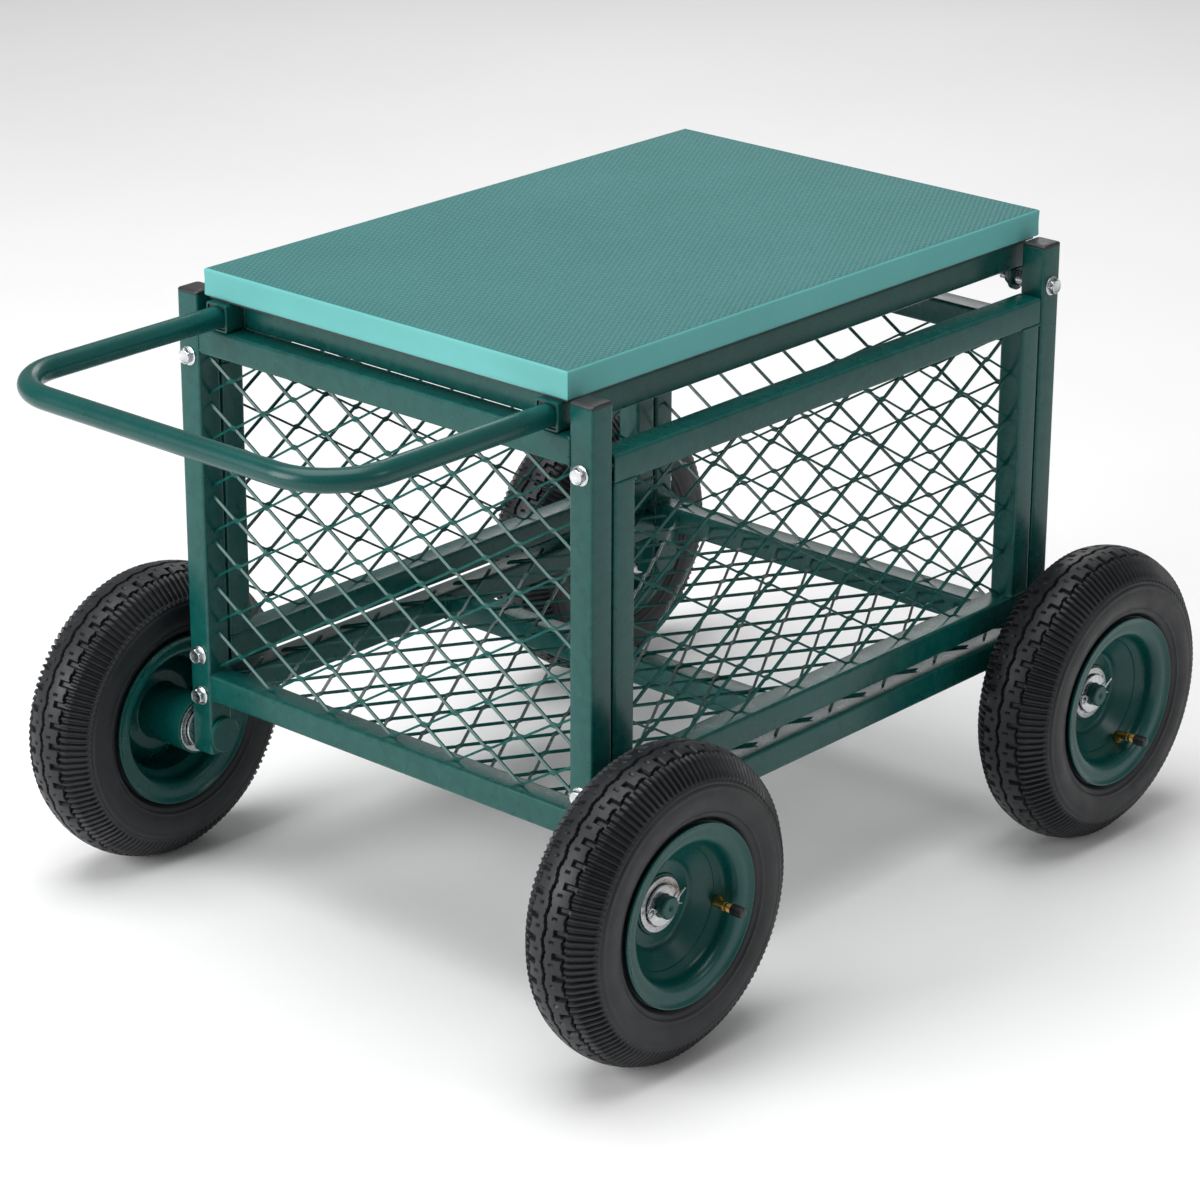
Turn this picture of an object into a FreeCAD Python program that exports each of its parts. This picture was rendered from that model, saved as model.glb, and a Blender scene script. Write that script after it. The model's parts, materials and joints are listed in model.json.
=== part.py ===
import FreeCAD, Part
import math
import os
import Sketcher

# Rolling garden work seat: a square-tube chassis with a basket of expanded mesh on four pneumatic
# wheels, a padded seat hinged at the rear, and a U handle that slides out of the seat's side rails.
# Millimetres, +Z up. Front (the handle end) is -X, rear is +X, left is -Y. The origin is on the
# ground, under the middle of the whole object's box.

SIZES = [
    # chassis
    ("wheelbase", 484.0, "front to rear axle, and post to post, centre to centre"),
    ("frame_width", 387.0, "over the outer faces of the left and right posts"),
    ("tube", 20.0, "side of every square tube"),
    ("tube_wall", 1.5, "wall of every square tube"),
    ("post_below_axle", 14.0, "axle centre down to the post's lower end"),
    ("post_rise", 332.0, "axle centre up to a post's top"),
    ("cap_height", 2.5, "visible thickness of a post cap"),
    ("cap_plug", 9.0, "depth of the cap's plug in the post"),
    ("plug_play", 0.2, "gap on each side of anything that plugs into a tube"),
    ("front_rail_rise", 310.0, "axle up to the top of the front top rail, which the seat rests on"),
    ("rear_rail_rise", 275.5, "axle up to the top of the rear top rail"),
    ("end_bottom_rise", 48.5, "axle up to the top of the front and rear bottom rails"),
    ("side_top_rise", 296.5, "axle up to the top of a side panel"),
    ("side_bottom_rise", 51.5, "axle up to the bottom of a side panel"),
    ("panel_gap", 2.0, "gap between a side panel and the post beside it"),
    ("floor_rise", 20.5, "axle up to the underside of the floor rails and the cross member"),
    ("mesh_sheet", 1.8, "thickness of the expanded mesh"),
    ("mesh_long", 60.3, "long way of a mesh diamond, node to node"),
    ("mesh_short", 34.4, "short way of a mesh diamond, node to node"),
    ("mesh_strand", 2.4, "width of a mesh strand"),
    ("mesh_node", 8.0, "length of the joint between two diamonds"),
    # fasteners
    ("bolt_radius", 3.0, "shank of every frame bolt and hinge bolt"),
    ("bolt_play", 0.15, "radial gap between a bolt and its hole"),
    ("bolt_head_radius", 5.8, "corner radius of a hexagon head or nut"),
    ("bolt_head", 4.0, "height of a hexagon head"),
    ("flange_radius", 7.0, "washer flange under a bolt head"),
    ("flange", 1.2, "thickness of that flange"),
    ("nut_height", 5.0, "height of a nut"),
    ("bolt_reach", 12.0, "length of a frame bolt inside the tube it holds"),
    # wheels
    ("tyre_radius", 111.0, "outside of the tyre, which is also the axle height"),
    ("tyre_half_width", 33.0, "tyre's middle plane to the bulge of its side wall"),
    ("tyre_wall", 5.0, "thickness of the side wall"),
    ("wheel_offset", 49.0, "post's outer face to the wheel's middle plane"),
    ("rim_flange", 13.2, "bead seat out to the edge of the rim's flange"),
    ("bead_radius", 50.8, "rim where the tyre's bead sits"),
    ("well_depth", 5.8, "bead seat in to the rim's well"),
    ("rim_half_width", 30.5, "middle plane to the edge of the rim's flange"),
    ("rim_sheet", 2.0, "thickness of the pressed rim"),
    ("hub_wall", 3.5, "wall of the hub barrel around a bearing"),
    ("hub_length", 50.0, "length of the hub over its bearings' flanges"),
    ("bearing_radius", 17.5, "outside of a ball bearing"),
    ("bearing_width", 11.0, "width of a ball bearing"),
    ("bearing_rim", 1.9, "how far the bearing's flange stands out, which stops it at the hub's end"),
    ("bearing_lip", 1.2, "thickness of that flange"),
    ("axle_radius", 8.0, "stub axle"),
    ("running_play", 0.05, "radial gap of a running fit"),
    ("side_play", 0.3, "gap beside a part that turns"),
    ("washer_radius", 14.5, "axle washer"),
    ("washer", 2.0, "thickness of an axle washer"),
    ("collar_radius", 13.0, "axle's welded collar on the inner face of the post"),
    ("collar", 4.0, "thickness of that collar"),
    ("axle_tip", 5.0, "axle beyond the split pin"),
    ("pin_radius", 1.5, "shank of a split pin"),
    ("pin_wire", 1.1, "radius of the wire in its eye and legs"),
    ("pin_leg", 9.0, "bent leg beyond the shank's end"),
    ("shoulder_drop", 12.0, "tread's shoulder below the top of the tyre"),
    ("crown_arc", 40.0, "radius of the arc across the tread"),
    ("bead_width", 6.0, "width of the tyre's bead"),
    ("tread_depth", 7.0, "rubber under the middle of the tread"),
    ("tube_skin", 1.5, "wall of the inner tube"),
    ("well_half_width", 11.6, "half the width of the rim's well"),
    ("well_slope", 0.867, "outward run of the well's side wall for each millimetre of radius"),
    ("web_sheet", 2.5, "thickness of the wheel's web"),
    ("web_root", 0.5, "web's outer face at the hub, outward of the middle plane"),
    ("web_foot", 32.0, "radius where the web's cone starts"),
    ("web_step", 2.5, "step from the flat around the hub out to the cone"),
    ("web_lap", 0.6, "web's outer edge inside the corner of the well"),
    ("bearing_shoulder", 2.5, "step that a bearing sits against"),
    ("valve_radius", 3.2, "valve stem"),
    ("valve_place", 15.0, "valve hole, outward of the wheel's middle plane"),
    ("valve_drop", 6.5, "rim's well to the valve's elbow"),
    ("valve_length", 18.0, "elbow to the valve's cap"),
    ("valve_cap", 10.0, "length of the valve's cap"),
    # seat
    ("pad_overhang", 5.8, "rear of the pad behind the rear posts' outer faces"),
    ("pad_side_gap", 4.75, "posts' inner faces to the pad"),
    ("pad_height", 21.0, "foam pad"),
    ("pad_front", 3.8, "front of the pad behind the front posts' outer faces"),
    ("pad_round", 2.0, "rounding of the pad's edges"),
    ("board", 2.0, "board under the pad"),
    ("board_inset", 2.5, "board inside the edge of the pad"),
    ("seat_side_gap", 9.5, "posts' inner faces to the seat's side rails"),
    ("seat_rail_short", 2.0, "rear end of a seat rail in front of the rear posts' outer faces"),
    ("rest_gap", 0.3, "seat rail above the front top rail"),
    ("crossrail_setback", 17.0, "end of a side rail to the cross rail"),
    ("ear", 3.0, "thickness of a hinge ear"),
    ("ear_radius", 9.0, "hinge ear around its bolt"),
    ("hinge_drop", 7.0, "seat rail's underside down to the hinge axis"),
    ("hinge_bolt_end", 6.7, "hinge bolt beyond its nut"),
    # handle
    ("guide_gap", 0.5, "seat rail's bore to the handle's round tube, all round"),
    ("handle_wall", 1.5, "wall of that tube"),
    ("handle_reach", 193.5, "posts' front faces to the middle of the handle bar"),
    ("handle_bend", 47.3, "bend radius at the tube's middle"),
    ("bush_recess", 1.0, "guide bush inside the mouth of the seat rail"),
    ("bush_length", 58.0, "guide bush"),
    ("glide_length", 20.0, "end glide on a handle arm"),
    ("glide_spigot", 15.0, "part of the glide inside the arm"),
]

SHEET = "Sizes"
SIDES = (("left", -1), ("right", 1))
ENDS = (("front", -1), ("rear", 1))
# Where each wheel's valve stands, in degrees about its own axle.
VALVE_ANGLES = {"front_left": 169.0, "rear_left": 117.0, "front_right": 40.0, "rear_right": 150.0}

doc = FreeCAD.newDocument("garden_cart")
sheet = doc.addObject("Spreadsheet::Sheet", SHEET)


class Size:
    """A number together with the spreadsheet expression that gives it."""

    def __init__(self, value, text):
        self.value = value
        self.text = text

    def join(self, other, sign, value):
        return Size(value, "(%s %s %s)" % (self.text, sign, size(other).text))

    def __add__(self, other):
        return self.join(other, "+", self.value + size(other).value)

    def __sub__(self, other):
        return self.join(other, "-", self.value - size(other).value)

    def __mul__(self, other):
        return self.join(other, "*", self.value * size(other).value)

    def __truediv__(self, other):
        return self.join(other, "/", self.value / size(other).value)

    def __rsub__(self, other):
        return size(other) - self

    def __radd__(self, other):
        return size(other) + self

    def __rmul__(self, other):
        return size(other) * self

    def __neg__(self):
        return size(0) - self

    def root(self):
        return Size(math.sqrt(self.value), "sqrt(%s)" % self.text)


def size(number):
    return number if isinstance(number, Size) else Size(float(number), "(%.6f)" % number)


def fill_sheet():
    """Write the driving sizes to the sheet and return them by name."""
    named = {}
    for row, (alias, value, note) in enumerate(SIZES, start=1):
        sheet.set("A%d" % row, "'" + note)
        sheet.set("B%d" % row, str(value))
        sheet.setAlias("B%d" % row, alias)
        named[alias] = Size(value, "%s.%s" % (SHEET, alias))
    doc.recompute()
    return named


S = fill_sheet()

# ---- places worked out from the sizes ----
HALF_TUBE = S["tube"] / 2
BORE = S["tube"] - 2 * S["tube_wall"]
HANDLE_R = BORE / 2 - S["guide_gap"]
MID_X = (HALF_TUBE + S["handle_reach"] + HANDLE_R - S["tyre_radius"]) / 2
AXLE_Z = S["tyre_radius"]
POST_TOP = AXLE_Z + S["post_rise"]
POST_BOTTOM = AXLE_Z - S["post_below_axle"]
HALF_WIDTH = S["frame_width"] / 2
HALF_BASE = S["wheelbase"] / 2
INNER_Y = HALF_WIDTH - S["tube"]
PANEL_Y = HALF_WIDTH - HALF_TUBE
PANEL_X = HALF_BASE - HALF_TUBE - S["panel_gap"]
END_TOPS = {"front": AXLE_Z + S["front_rail_rise"], "rear": AXLE_Z + S["rear_rail_rise"]}
END_BOTTOM = AXLE_Z + S["end_bottom_rise"]
SIDE_TOP = AXLE_Z + S["side_top_rise"]
SIDE_BOTTOM = AXLE_Z + S["side_bottom_rise"]
FLOOR_BOTTOM = AXLE_Z + S["floor_rise"]
BOLT_LEVELS = (SIDE_TOP - HALF_TUBE, SIDE_BOTTOM + HALF_TUBE, FLOOR_BOTTOM + HALF_TUBE)
FRONT_FACE = MID_X - HALF_BASE - HALF_TUBE
REAR_X = MID_X + HALF_BASE
SEAT_BOTTOM = END_TOPS["front"] + S["rest_gap"]
SEAT_MID_Z = SEAT_BOTTOM + HALF_TUBE
SEAT_TOP = SEAT_BOTTOM + S["tube"]
SEAT_Y = INNER_Y - S["seat_side_gap"]
SEAT_RAIL = S["wheelbase"] + S["tube"] - S["seat_rail_short"]
PAD_Y = INNER_Y - S["pad_side_gap"]
PAD_X = FRONT_FACE + S["pad_front"]
PAD_LENGTH = S["wheelbase"] + S["tube"] + S["pad_overhang"] - S["pad_front"]
ARM_Y = SEAT_Y - HALF_TUBE
HINGE_Z = SEAT_BOTTOM - S["hinge_drop"]
WHEEL_Y = HALF_WIDTH + S["wheel_offset"]
HUB_INNER = S["washer"] + S["side_play"]
HUB_OUTER = HUB_INNER + S["hub_length"]
BEARING_FLANGE = S["bearing_radius"] + S["bearing_rim"]
HUB_R = S["bearing_radius"] + S["hub_wall"]
RIM_R = S["bead_radius"] + S["rim_flange"]
WELL_R = S["bead_radius"] - S["well_depth"]
SPLIT_PIN_AT = HUB_OUTER + S["side_play"] + S["washer"] + S["side_play"] + S["pin_radius"]
AXLE_END = SPLIT_PIN_AT + S["axle_tip"]

AXIS_TURN = {
    "X": FreeCAD.Rotation(FreeCAD.Vector(0, 1, 0), 90),
    "Y": FreeCAD.Rotation(FreeCAD.Vector(1, 0, 0), -90),
    "Z": FreeCAD.Rotation(),
}
subparts = []


def bind(thing, **sizes):
    for prop, value in sizes.items():
        thing.setExpression(prop, size(value).text)


def place(thing, x, y, z, turn=None):
    if turn is not None:
        thing.Placement = FreeCAD.Placement(FreeCAD.Vector(0, 0, 0), turn)
    for letter, value in (("x", x), ("y", y), ("z", z)):
        thing.setExpression("Placement.Base." + letter, size(value).text)


def block(x, y, z, length, width, height):
    """A box from its low corner."""
    box = doc.addObject("Part::Box", "block")
    bind(box, Length=length, Width=width, Height=height)
    place(box, x, y, z)
    return box


def rod(axis, x, y, z, radius, length):
    """A round bar from the middle of its low end."""
    bar = doc.addObject("Part::Cylinder", "rod")
    bind(bar, Radius=radius, Height=length)
    place(bar, x, y, z, AXIS_TURN[axis])
    return bar


def hexagon(axis, x, y, z, radius, length):
    prism = doc.addObject("Part::Prism", "hexagon")
    prism.Polygon = 6
    bind(prism, Circumradius=radius, Height=length)
    place(prism, x, y, z, AXIS_TURN[axis])
    return prism


def fused(pieces):
    joined = doc.addObject("Part::MultiFuse", "fused")
    joined.Shapes = pieces
    return joined


def cut(base, tools):
    result = doc.addObject("Part::Cut", "cut")
    result.Base = base
    result.Tool = tools[0] if len(tools) == 1 else fused(tools)
    return result


def group(pieces):
    """Separate solids that share one node."""
    together = doc.addObject("Part::Compound", "group")
    together.Links = pieces
    return together


def subpart(label, thing):
    thing.Label = label
    subparts.append(thing)
    return thing


def square_tube(axis, x, y, z, length):
    """Square tube from its low corner, open at both ends."""
    side = S["tube"]
    wall = S["tube_wall"]
    outer = {"X": (length, side, side), "Y": (side, length, side), "Z": (side, side, length)}[axis]
    inner = {"X": (length, BORE, BORE), "Y": (BORE, length, BORE), "Z": (BORE, BORE, length)}[axis]
    low = {"X": (x, y + wall, z + wall), "Y": (x + wall, y, z + wall), "Z": (x + wall, y + wall, z)}[axis]
    return cut(block(x, y, z, *outer), [block(*low, *inner)])


def mirrored(side, value, extent=0):
    """Low end of something that starts at value and runs outward by extent, on either side."""
    return value if side > 0 else -(value + extent)


# ---- chassis ----
def posts():
    for end, sx in ENDS:
        for hand, sy in SIDES:
            x = MID_X + sx * HALF_BASE
            y = mirrored(sy, INNER_Y, S["tube"])
            tube = square_tube("Z", x - HALF_TUBE, y, POST_BOTTOM, POST_TOP - POST_BOTTOM)
            hole = S["bolt_radius"] + S["bolt_play"]
            holes = [rod("Y", x, y, AXLE_Z, S["axle_radius"] + S["running_play"], S["tube"])]
            for level in BOLT_LEVELS:
                holes.append(rod("X", x - HALF_TUBE, sy * PANEL_Y, level, hole, S["tube"]))
            if end == "rear":
                holes.append(rod("Y", x, y, HINGE_Z, hole, S["tube"]))
            subpart("post_%s_%s" % (end, hand), cut(tube, holes))


def post_caps():
    plug = BORE - 2 * S["plug_play"]
    inset = S["tube_wall"] + S["plug_play"]
    caps = []
    for _, sx in ENDS:
        for _, sy in SIDES:
            x = MID_X + sx * HALF_BASE - HALF_TUBE
            y = mirrored(sy, INNER_Y, S["tube"])
            head = block(x, y, POST_TOP, S["tube"], S["tube"], S["cap_height"])
            stem_z = POST_TOP - S["cap_plug"]
            stem = block(x + inset, y + inset, stem_z, plug, plug, S["cap_plug"])
            caps.append(fused([head, stem]))
    subpart("post_caps", group(caps))


def end_rails():
    for end, sx in ENDS:
        x = MID_X + sx * HALF_BASE - HALF_TUBE
        for name, top in (("top", END_TOPS[end]), ("bottom", END_BOTTOM)):
            rail = square_tube("Y", x, -INNER_Y, top - S["tube"], 2 * INNER_Y)
            subpart("%s_%s_rail" % (end, name), rail)


def side_frames():
    low = SIDE_BOTTOM
    high = SIDE_TOP
    for hand, sy in SIDES:
        y = mirrored(sy, INNER_Y, S["tube"])
        left = MID_X - PANEL_X
        tubes = [
            square_tube("X", left, y, high - S["tube"], 2 * PANEL_X),
            square_tube("X", left, y, low, 2 * PANEL_X),
        ]
        for x in (left, MID_X + PANEL_X - S["tube"]):
            tubes.append(square_tube("Z", x, y, low + S["tube"], high - low - 2 * S["tube"]))
        subpart("side_frame_%s" % hand, group(tubes))


def floor_frame():
    rail_length = S["wheelbase"] - S["tube"]
    for hand, sy in SIDES:
        y = mirrored(sy, INNER_Y, S["tube"])
        rail = square_tube("X", MID_X - rail_length / 2, y, FLOOR_BOTTOM, rail_length)
        subpart("floor_rail_%s" % hand, rail)
    member = square_tube("Y", MID_X - HALF_TUBE, -INNER_Y, FLOOR_BOTTOM, 2 * INNER_Y)
    subpart("floor_cross_member", member)


def diamond(middle_u, middle_v, long_way, short_way):
    """A mesh opening: a diamond whose upper and lower corners are cut flat by the strand joints."""
    half_strand = S["mesh_strand"].value / 2
    half_node = S["mesh_node"].value / 2
    slope = math.atan2(short_way / 2, long_way / 2 - 2 * half_node)
    tip = long_way / 2 - half_node - half_strand / math.sin(slope)
    flat = half_node - half_strand * math.tan(slope / 2)
    rise = short_way / 2 - half_strand
    corners = [(-tip, 0), (-flat, rise), (flat, rise), (tip, 0), (flat, -rise), (-flat, -rise)]
    ring = [FreeCAD.Vector(middle_u + u, middle_v + v, 0) for u, v in corners]
    return Part.Face(Part.makePolygon(ring + ring[:1]))


def expanded_mesh(label, width, height, turn, x, y, z):
    """Flat mesh of the given width and height about its middle; its long way runs along the width."""
    across = width.value
    tall = height.value
    long_way = S["mesh_long"].value
    short_way = S["mesh_short"].value
    edge = S["mesh_strand"].value
    inner = Part.makePlane(across - 2 * edge, tall - 2 * edge)
    inner.translate(FreeCAD.Vector(edge - across / 2, edge - tall / 2, 0))
    columns = int(math.ceil(across / long_way)) + 1
    rows = int(math.ceil(tall / short_way)) + 1
    openings = []
    for shift in (0.0, 0.5):
        for column in range(-columns // 2, columns // 2 + 1):
            for row in range(-rows // 2, rows // 2 + 1):
                middle_u = (column + shift) * long_way
                middle_v = (row + shift) * short_way
                opening = diamond(middle_u, middle_v, long_way, short_way)
                box = opening.BoundBox
                inside = abs(middle_u) < across / 2 - box.XLength / 2 - edge
                inside = inside and abs(middle_v) < tall / 2 - box.YLength / 2 - edge
                if inside:
                    openings.append(opening)
                elif abs(middle_u) < across / 2 + box.XLength and abs(middle_v) < tall / 2 + box.YLength:
                    part_inside = opening.common(inner)
                    openings.extend(face for face in part_inside.Faces if face.Area > edge * edge)
    sheet_face = Part.makePlane(across, tall)
    sheet_face.translate(FreeCAD.Vector(-across / 2, -tall / 2, 0))
    outline = sheet_face.Wires[0]
    holes = [Part.Wire(face.OuterWire.Edges) for face in openings]
    flat = Part.Face([outline] + holes, "Part::FaceMakerBullseye")
    thick = S["mesh_sheet"].value
    flat.translate(FreeCAD.Vector(0, 0, -thick / 2))
    mesh = doc.addObject("Part::Feature", "mesh")
    mesh.Shape = flat.extrude(FreeCAD.Vector(0, 0, thick))
    place(mesh, x, y, z, turn)
    return subpart(label, mesh)


def meshes():
    upright_x = FreeCAD.Rotation(FreeCAD.Vector(1, 0, 0), 90)
    upright_y = FreeCAD.Rotation(FreeCAD.Vector(0, 0, 1), 90).multiply(upright_x)
    low = SIDE_BOTTOM + S["tube"]
    high = SIDE_TOP - S["tube"]
    for hand, sy in SIDES:
        width = 2 * (PANEL_X - S["tube"])
        expanded_mesh("side_mesh_%s" % hand, width, high - low, upright_x,
                      MID_X, sy * PANEL_Y, (low + high) / 2)
    for end, sx in ENDS:
        low = END_BOTTOM
        high = END_TOPS[end] - S["tube"]
        expanded_mesh("%s_mesh" % end, 2 * INNER_Y, high - low, upright_y,
                      MID_X + sx * HALF_BASE, size(0), (low + high) / 2)
    floor_z = FLOOR_BOTTOM + S["tube"] + S["mesh_sheet"] / 2
    width = S["wheelbase"] - S["tube"] - 2 * S["plug_play"]
    expanded_mesh("floor_mesh", width, 2 * PANEL_Y, FreeCAD.Rotation(), MID_X, size(0), floor_z)


def frame_bolts():
    """Flanged bolts through the posts into square nuts in the side panels' and floor rails' ends."""
    pieces = []
    shank = S["tube"] + S["panel_gap"] + S["bolt_reach"]
    bore = S["bolt_radius"] + S["running_play"]
    nut_side = BORE - 2 * S["plug_play"]
    for _, sx in ENDS:
        for _, sy in SIDES:
            face = MID_X + sx * (HALF_BASE + HALF_TUBE)
            for level in BOLT_LEVELS:
                y = sy * PANEL_Y
                shank_x = face if sx < 0 else face - shank
                flange_x = face - S["flange"] if sx < 0 else face
                head_x = flange_x - S["bolt_head"] if sx < 0 else face + S["flange"]
                bolt = fused([
                    hexagon("X", head_x, y, level, S["bolt_head_radius"], S["bolt_head"]),
                    rod("X", flange_x, y, level, S["flange_radius"], S["flange"]),
                    rod("X", shank_x, y, level, S["bolt_radius"], shank),
                ])
                start = S["tube"] + S["panel_gap"] + S["bolt_reach"] / 2 - S["nut_height"] / 2
                nut_x = face + start if sx < 0 else face - start - S["nut_height"]
                block_nut = block(nut_x, y - nut_side / 2, level - nut_side / 2,
                                  S["nut_height"], nut_side, nut_side)
                nut = cut(block_nut, [rod("X", nut_x, y, level, bore, S["nut_height"])])
                pieces.extend([bolt, nut])
    subpart("frame_bolts", group(pieces))


# ---- wheels ----
def stub_axles():
    for end, sx in ENDS:
        for hand, sy in SIDES:
            x = MID_X + sx * HALF_BASE
            start = INNER_Y - S["collar"]
            length = S["collar"] + S["tube"] + AXLE_END
            shaft = rod("Y", x, mirrored(sy, start, length), AXLE_Z, S["axle_radius"], length)
            collar_y = mirrored(sy, start, S["collar"])
            collar = rod("Y", x, collar_y, AXLE_Z, S["collar_radius"], S["collar"])
            pin_y = sy * (HALF_WIDTH + SPLIT_PIN_AT)
            reach = S["axle_radius"] * 2
            hole = rod("X", x - S["axle_radius"], pin_y, AXLE_Z,
                       S["pin_radius"] + S["bolt_play"], reach)
            subpart("axle_%s_%s" % (end, hand), cut(fused([shaft, collar]), [hole]))


def axle_washers():
    rings = []
    for _, sx in ENDS:
        for _, sy in SIDES:
            x = MID_X + sx * HALF_BASE
            for start in (HALF_WIDTH, HALF_WIDTH + HUB_OUTER + S["side_play"]):
                y = mirrored(sy, start, S["washer"])
                rings.append(cut(
                    rod("Y", x, y, AXLE_Z, S["washer_radius"], S["washer"]),
                    [rod("Y", x, y, AXLE_Z, S["axle_radius"] + S["running_play"], S["washer"])]))
    subpart("axle_washers", group(rings))


def split_pins():
    """Each pin: a round eye in front of the axle, a shank through it and two legs spread behind."""
    eye_radius = S["pin_radius"] * 2
    spread = 35
    pins = []
    for _, sx in ENDS:
        for _, sy in SIDES:
            x = MID_X + sx * HALF_BASE
            y = sy * (HALF_WIDTH + SPLIT_PIN_AT)
            front = x - S["axle_radius"] - S["pin_radius"]
            back = x + S["axle_radius"] + S["pin_radius"]
            shank = rod("X", front, y, AXLE_Z, S["pin_radius"], back - front)
            eye = doc.addObject("Part::Torus", "eye")
            bind(eye, Radius1=eye_radius, Radius2=S["pin_wire"])
            place(eye, front - eye_radius, y, AXLE_Z, AXIS_TURN["Y"])
            pieces = [shank, eye]
            for lean in (-1, 1):
                leg = doc.addObject("Part::Cylinder", "leg")
                bind(leg, Radius=S["pin_wire"], Height=S["pin_leg"] + S["pin_radius"])
                turn = FreeCAD.Rotation(FreeCAD.Vector(0, 1, 0), 90 + lean * spread)
                place(leg, back - S["pin_radius"], y, AXLE_Z, turn)
                pieces.append(leg)
            pins.append(fused(pieces))
    subpart("split_pins", group(pins))


def revolved_body(name, loops):
    """A body turned about its own Y axis, which points outward along the axle. Each loop is a list of
    corners (radius, along) and a dictionary of arcs, see draw_loop."""
    body = doc.addObject("PartDesign::Body", name)
    plane = [f for f in body.Origin.OriginFeatures if f.Role == "XY_Plane"][0]
    sketch = body.newObject("Sketcher::SketchObject", name + "_section")
    sketch.AttachmentSupport = [(plane, "")]
    sketch.MapMode = "FlatFace"
    for corners, arcs in loops:
        draw_loop(sketch, corners, arcs)
    turned = body.newObject("PartDesign::Revolution", name + "_turned")
    turned.Profile = sketch
    turned.ReferenceAxis = (sketch, ["V_Axis"])
    turned.Angle = 360.0
    body.Tip = turned
    return body


def fix(sketch, kind, geometry, point, value):
    """Hold one coordinate of a sketch point at a size from the sheet."""
    number = abs(value.value)
    text = value.text if value.value >= 0 else (-value).text
    ends = (-1, 1, geometry, point) if value.value >= 0 else (geometry, point, -1, 1)
    if number < 1e-9:
        line = -2 if kind == "DistanceX" else -1
        sketch.addConstraint(Sketcher.Constraint("PointOnObject", geometry, point, line))
        return
    index = sketch.addConstraint(Sketcher.Constraint(kind, *ends, number))
    sketch.setExpression("Constraints[%d]" % index, text)


def draw_loop(sketch, corners, arcs, closed=True):
    """Outline through the corners. arcs[i] is the centre of the arc, shorter than a half circle, that
    joins corner i to the next one. The arc's radius then gives one coordinate of that next corner."""
    spots = [(size(u), size(v)) for u, v in corners]
    centres = {index: (size(u), size(v)) for index, (u, v) in arcs.items()}
    points = [FreeCAD.Vector(u.value, v.value, 0) for u, v in spots]
    total = len(points)
    edges = total if closed else total - 1
    first = sketch.GeometryCount
    ends = []
    held = [("DistanceX", "DistanceY")] * total
    for index in range(edges):
        start = points[index]
        end = points[(index + 1) % total]
        if index not in centres:
            sketch.addGeometry(Part.LineSegment(start, end), False)
            ends.append((1, 2))
            continue
        middle = FreeCAD.Vector(centres[index][0].value, centres[index][1].value, 0)
        leg = start - middle
        reach = end - middle
        level = abs(reach.x) >= abs(reach.y)
        held[(index + 1) % total] = ("DistanceY",) if level else ("DistanceX",)
        from_angle = math.atan2(leg.y, leg.x)
        to_angle = math.atan2(reach.y, reach.x)
        forward = (to_angle - from_angle) % (2 * math.pi) <= math.pi
        if not forward:
            from_angle, to_angle = to_angle, from_angle
        circle = Part.Circle(middle, FreeCAD.Vector(0, 0, 1), leg.Length)
        sketch.addGeometry(Part.ArcOfCircle(circle, from_angle, to_angle), False)
        ends.append((1, 2) if forward else (2, 1))
    for index in range(edges - (0 if closed else 1)):
        following = (index + 1) % total
        sketch.addConstraint(Sketcher.Constraint(
            "Coincident", first + index, ends[index][1], first + following, ends[following][0]))
    for index, (u, v) in enumerate(spots):
        edge = min(index, edges - 1)
        which = ends[edge][0 if edge == index else 1]
        for kind in held[index]:
            fix(sketch, kind, first + edge, which, u if kind == "DistanceX" else v)
    for index, (u, v) in centres.items():
        fix(sketch, "DistanceX", first + index, 3, u)
        fix(sketch, "DistanceY", first + index, 3, v)


def side_arc(bead_y, gap):
    """Centre and half height of the arc that bulges from the rim flange to the tyre's shoulder."""
    low = RIM_R + gap
    high = S["tyre_radius"] - S["shoulder_drop"]
    half_chord = (high - low) / 2
    sagitta = S["tyre_half_width"] - bead_y
    radius = (half_chord * half_chord + sagitta * sagitta) / (2 * sagitta)
    return (low + high) / 2, S["tyre_half_width"] - radius, radius, half_chord


def tyre(name):
    gap = S["side_play"]
    bead_y = S["rim_half_width"] - 2 * S["rim_sheet"] - gap
    bead_r = S["bead_radius"] + gap
    mid_r, mid_y, radius, half_chord = side_arc(bead_y, gap)
    crown = S["crown_arc"]
    crown_y = S["tyre_half_width"] * 0.6
    crown_mid = S["tyre_radius"] - crown
    crown_r = crown_mid + (crown * crown - crown_y * crown_y).root()
    bead_in = bead_y - S["bead_width"]
    inner = radius - S["tyre_wall"]
    inner_y = bead_in * 0.85
    inner_rise = inner_y - mid_y
    inner_run = (inner * inner - inner_rise * inner_rise).root()
    under_tread = S["tyre_radius"] - S["tread_depth"]
    corners = [
        (under_tread, -S["tyre_half_width"] * 0.36),
        (mid_r + inner_run, -inner_y),
        (mid_r - inner_run, -inner_y),
        (bead_r, -bead_in),
        (bead_r, -bead_y),
        (mid_r - half_chord, -bead_y),
        (mid_r + half_chord, -bead_y),
        (crown_r, -crown_y),
        (crown_r, crown_y),
        (mid_r + half_chord, bead_y),
        (mid_r - half_chord, bead_y),
        (bead_r, bead_y),
        (bead_r, bead_in),
        (mid_r - inner_run, inner_y),
        (mid_r + inner_run, inner_y),
        (under_tread, S["tyre_half_width"] * 0.36),
    ]
    low_side = (mid_r, -mid_y)
    high_side = (mid_r, mid_y)
    arcs = {1: low_side, 5: low_side, 7: (crown_mid, size(0)), 9: high_side, 13: high_side}
    return revolved_body(name, [(corners, arcs)])


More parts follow.
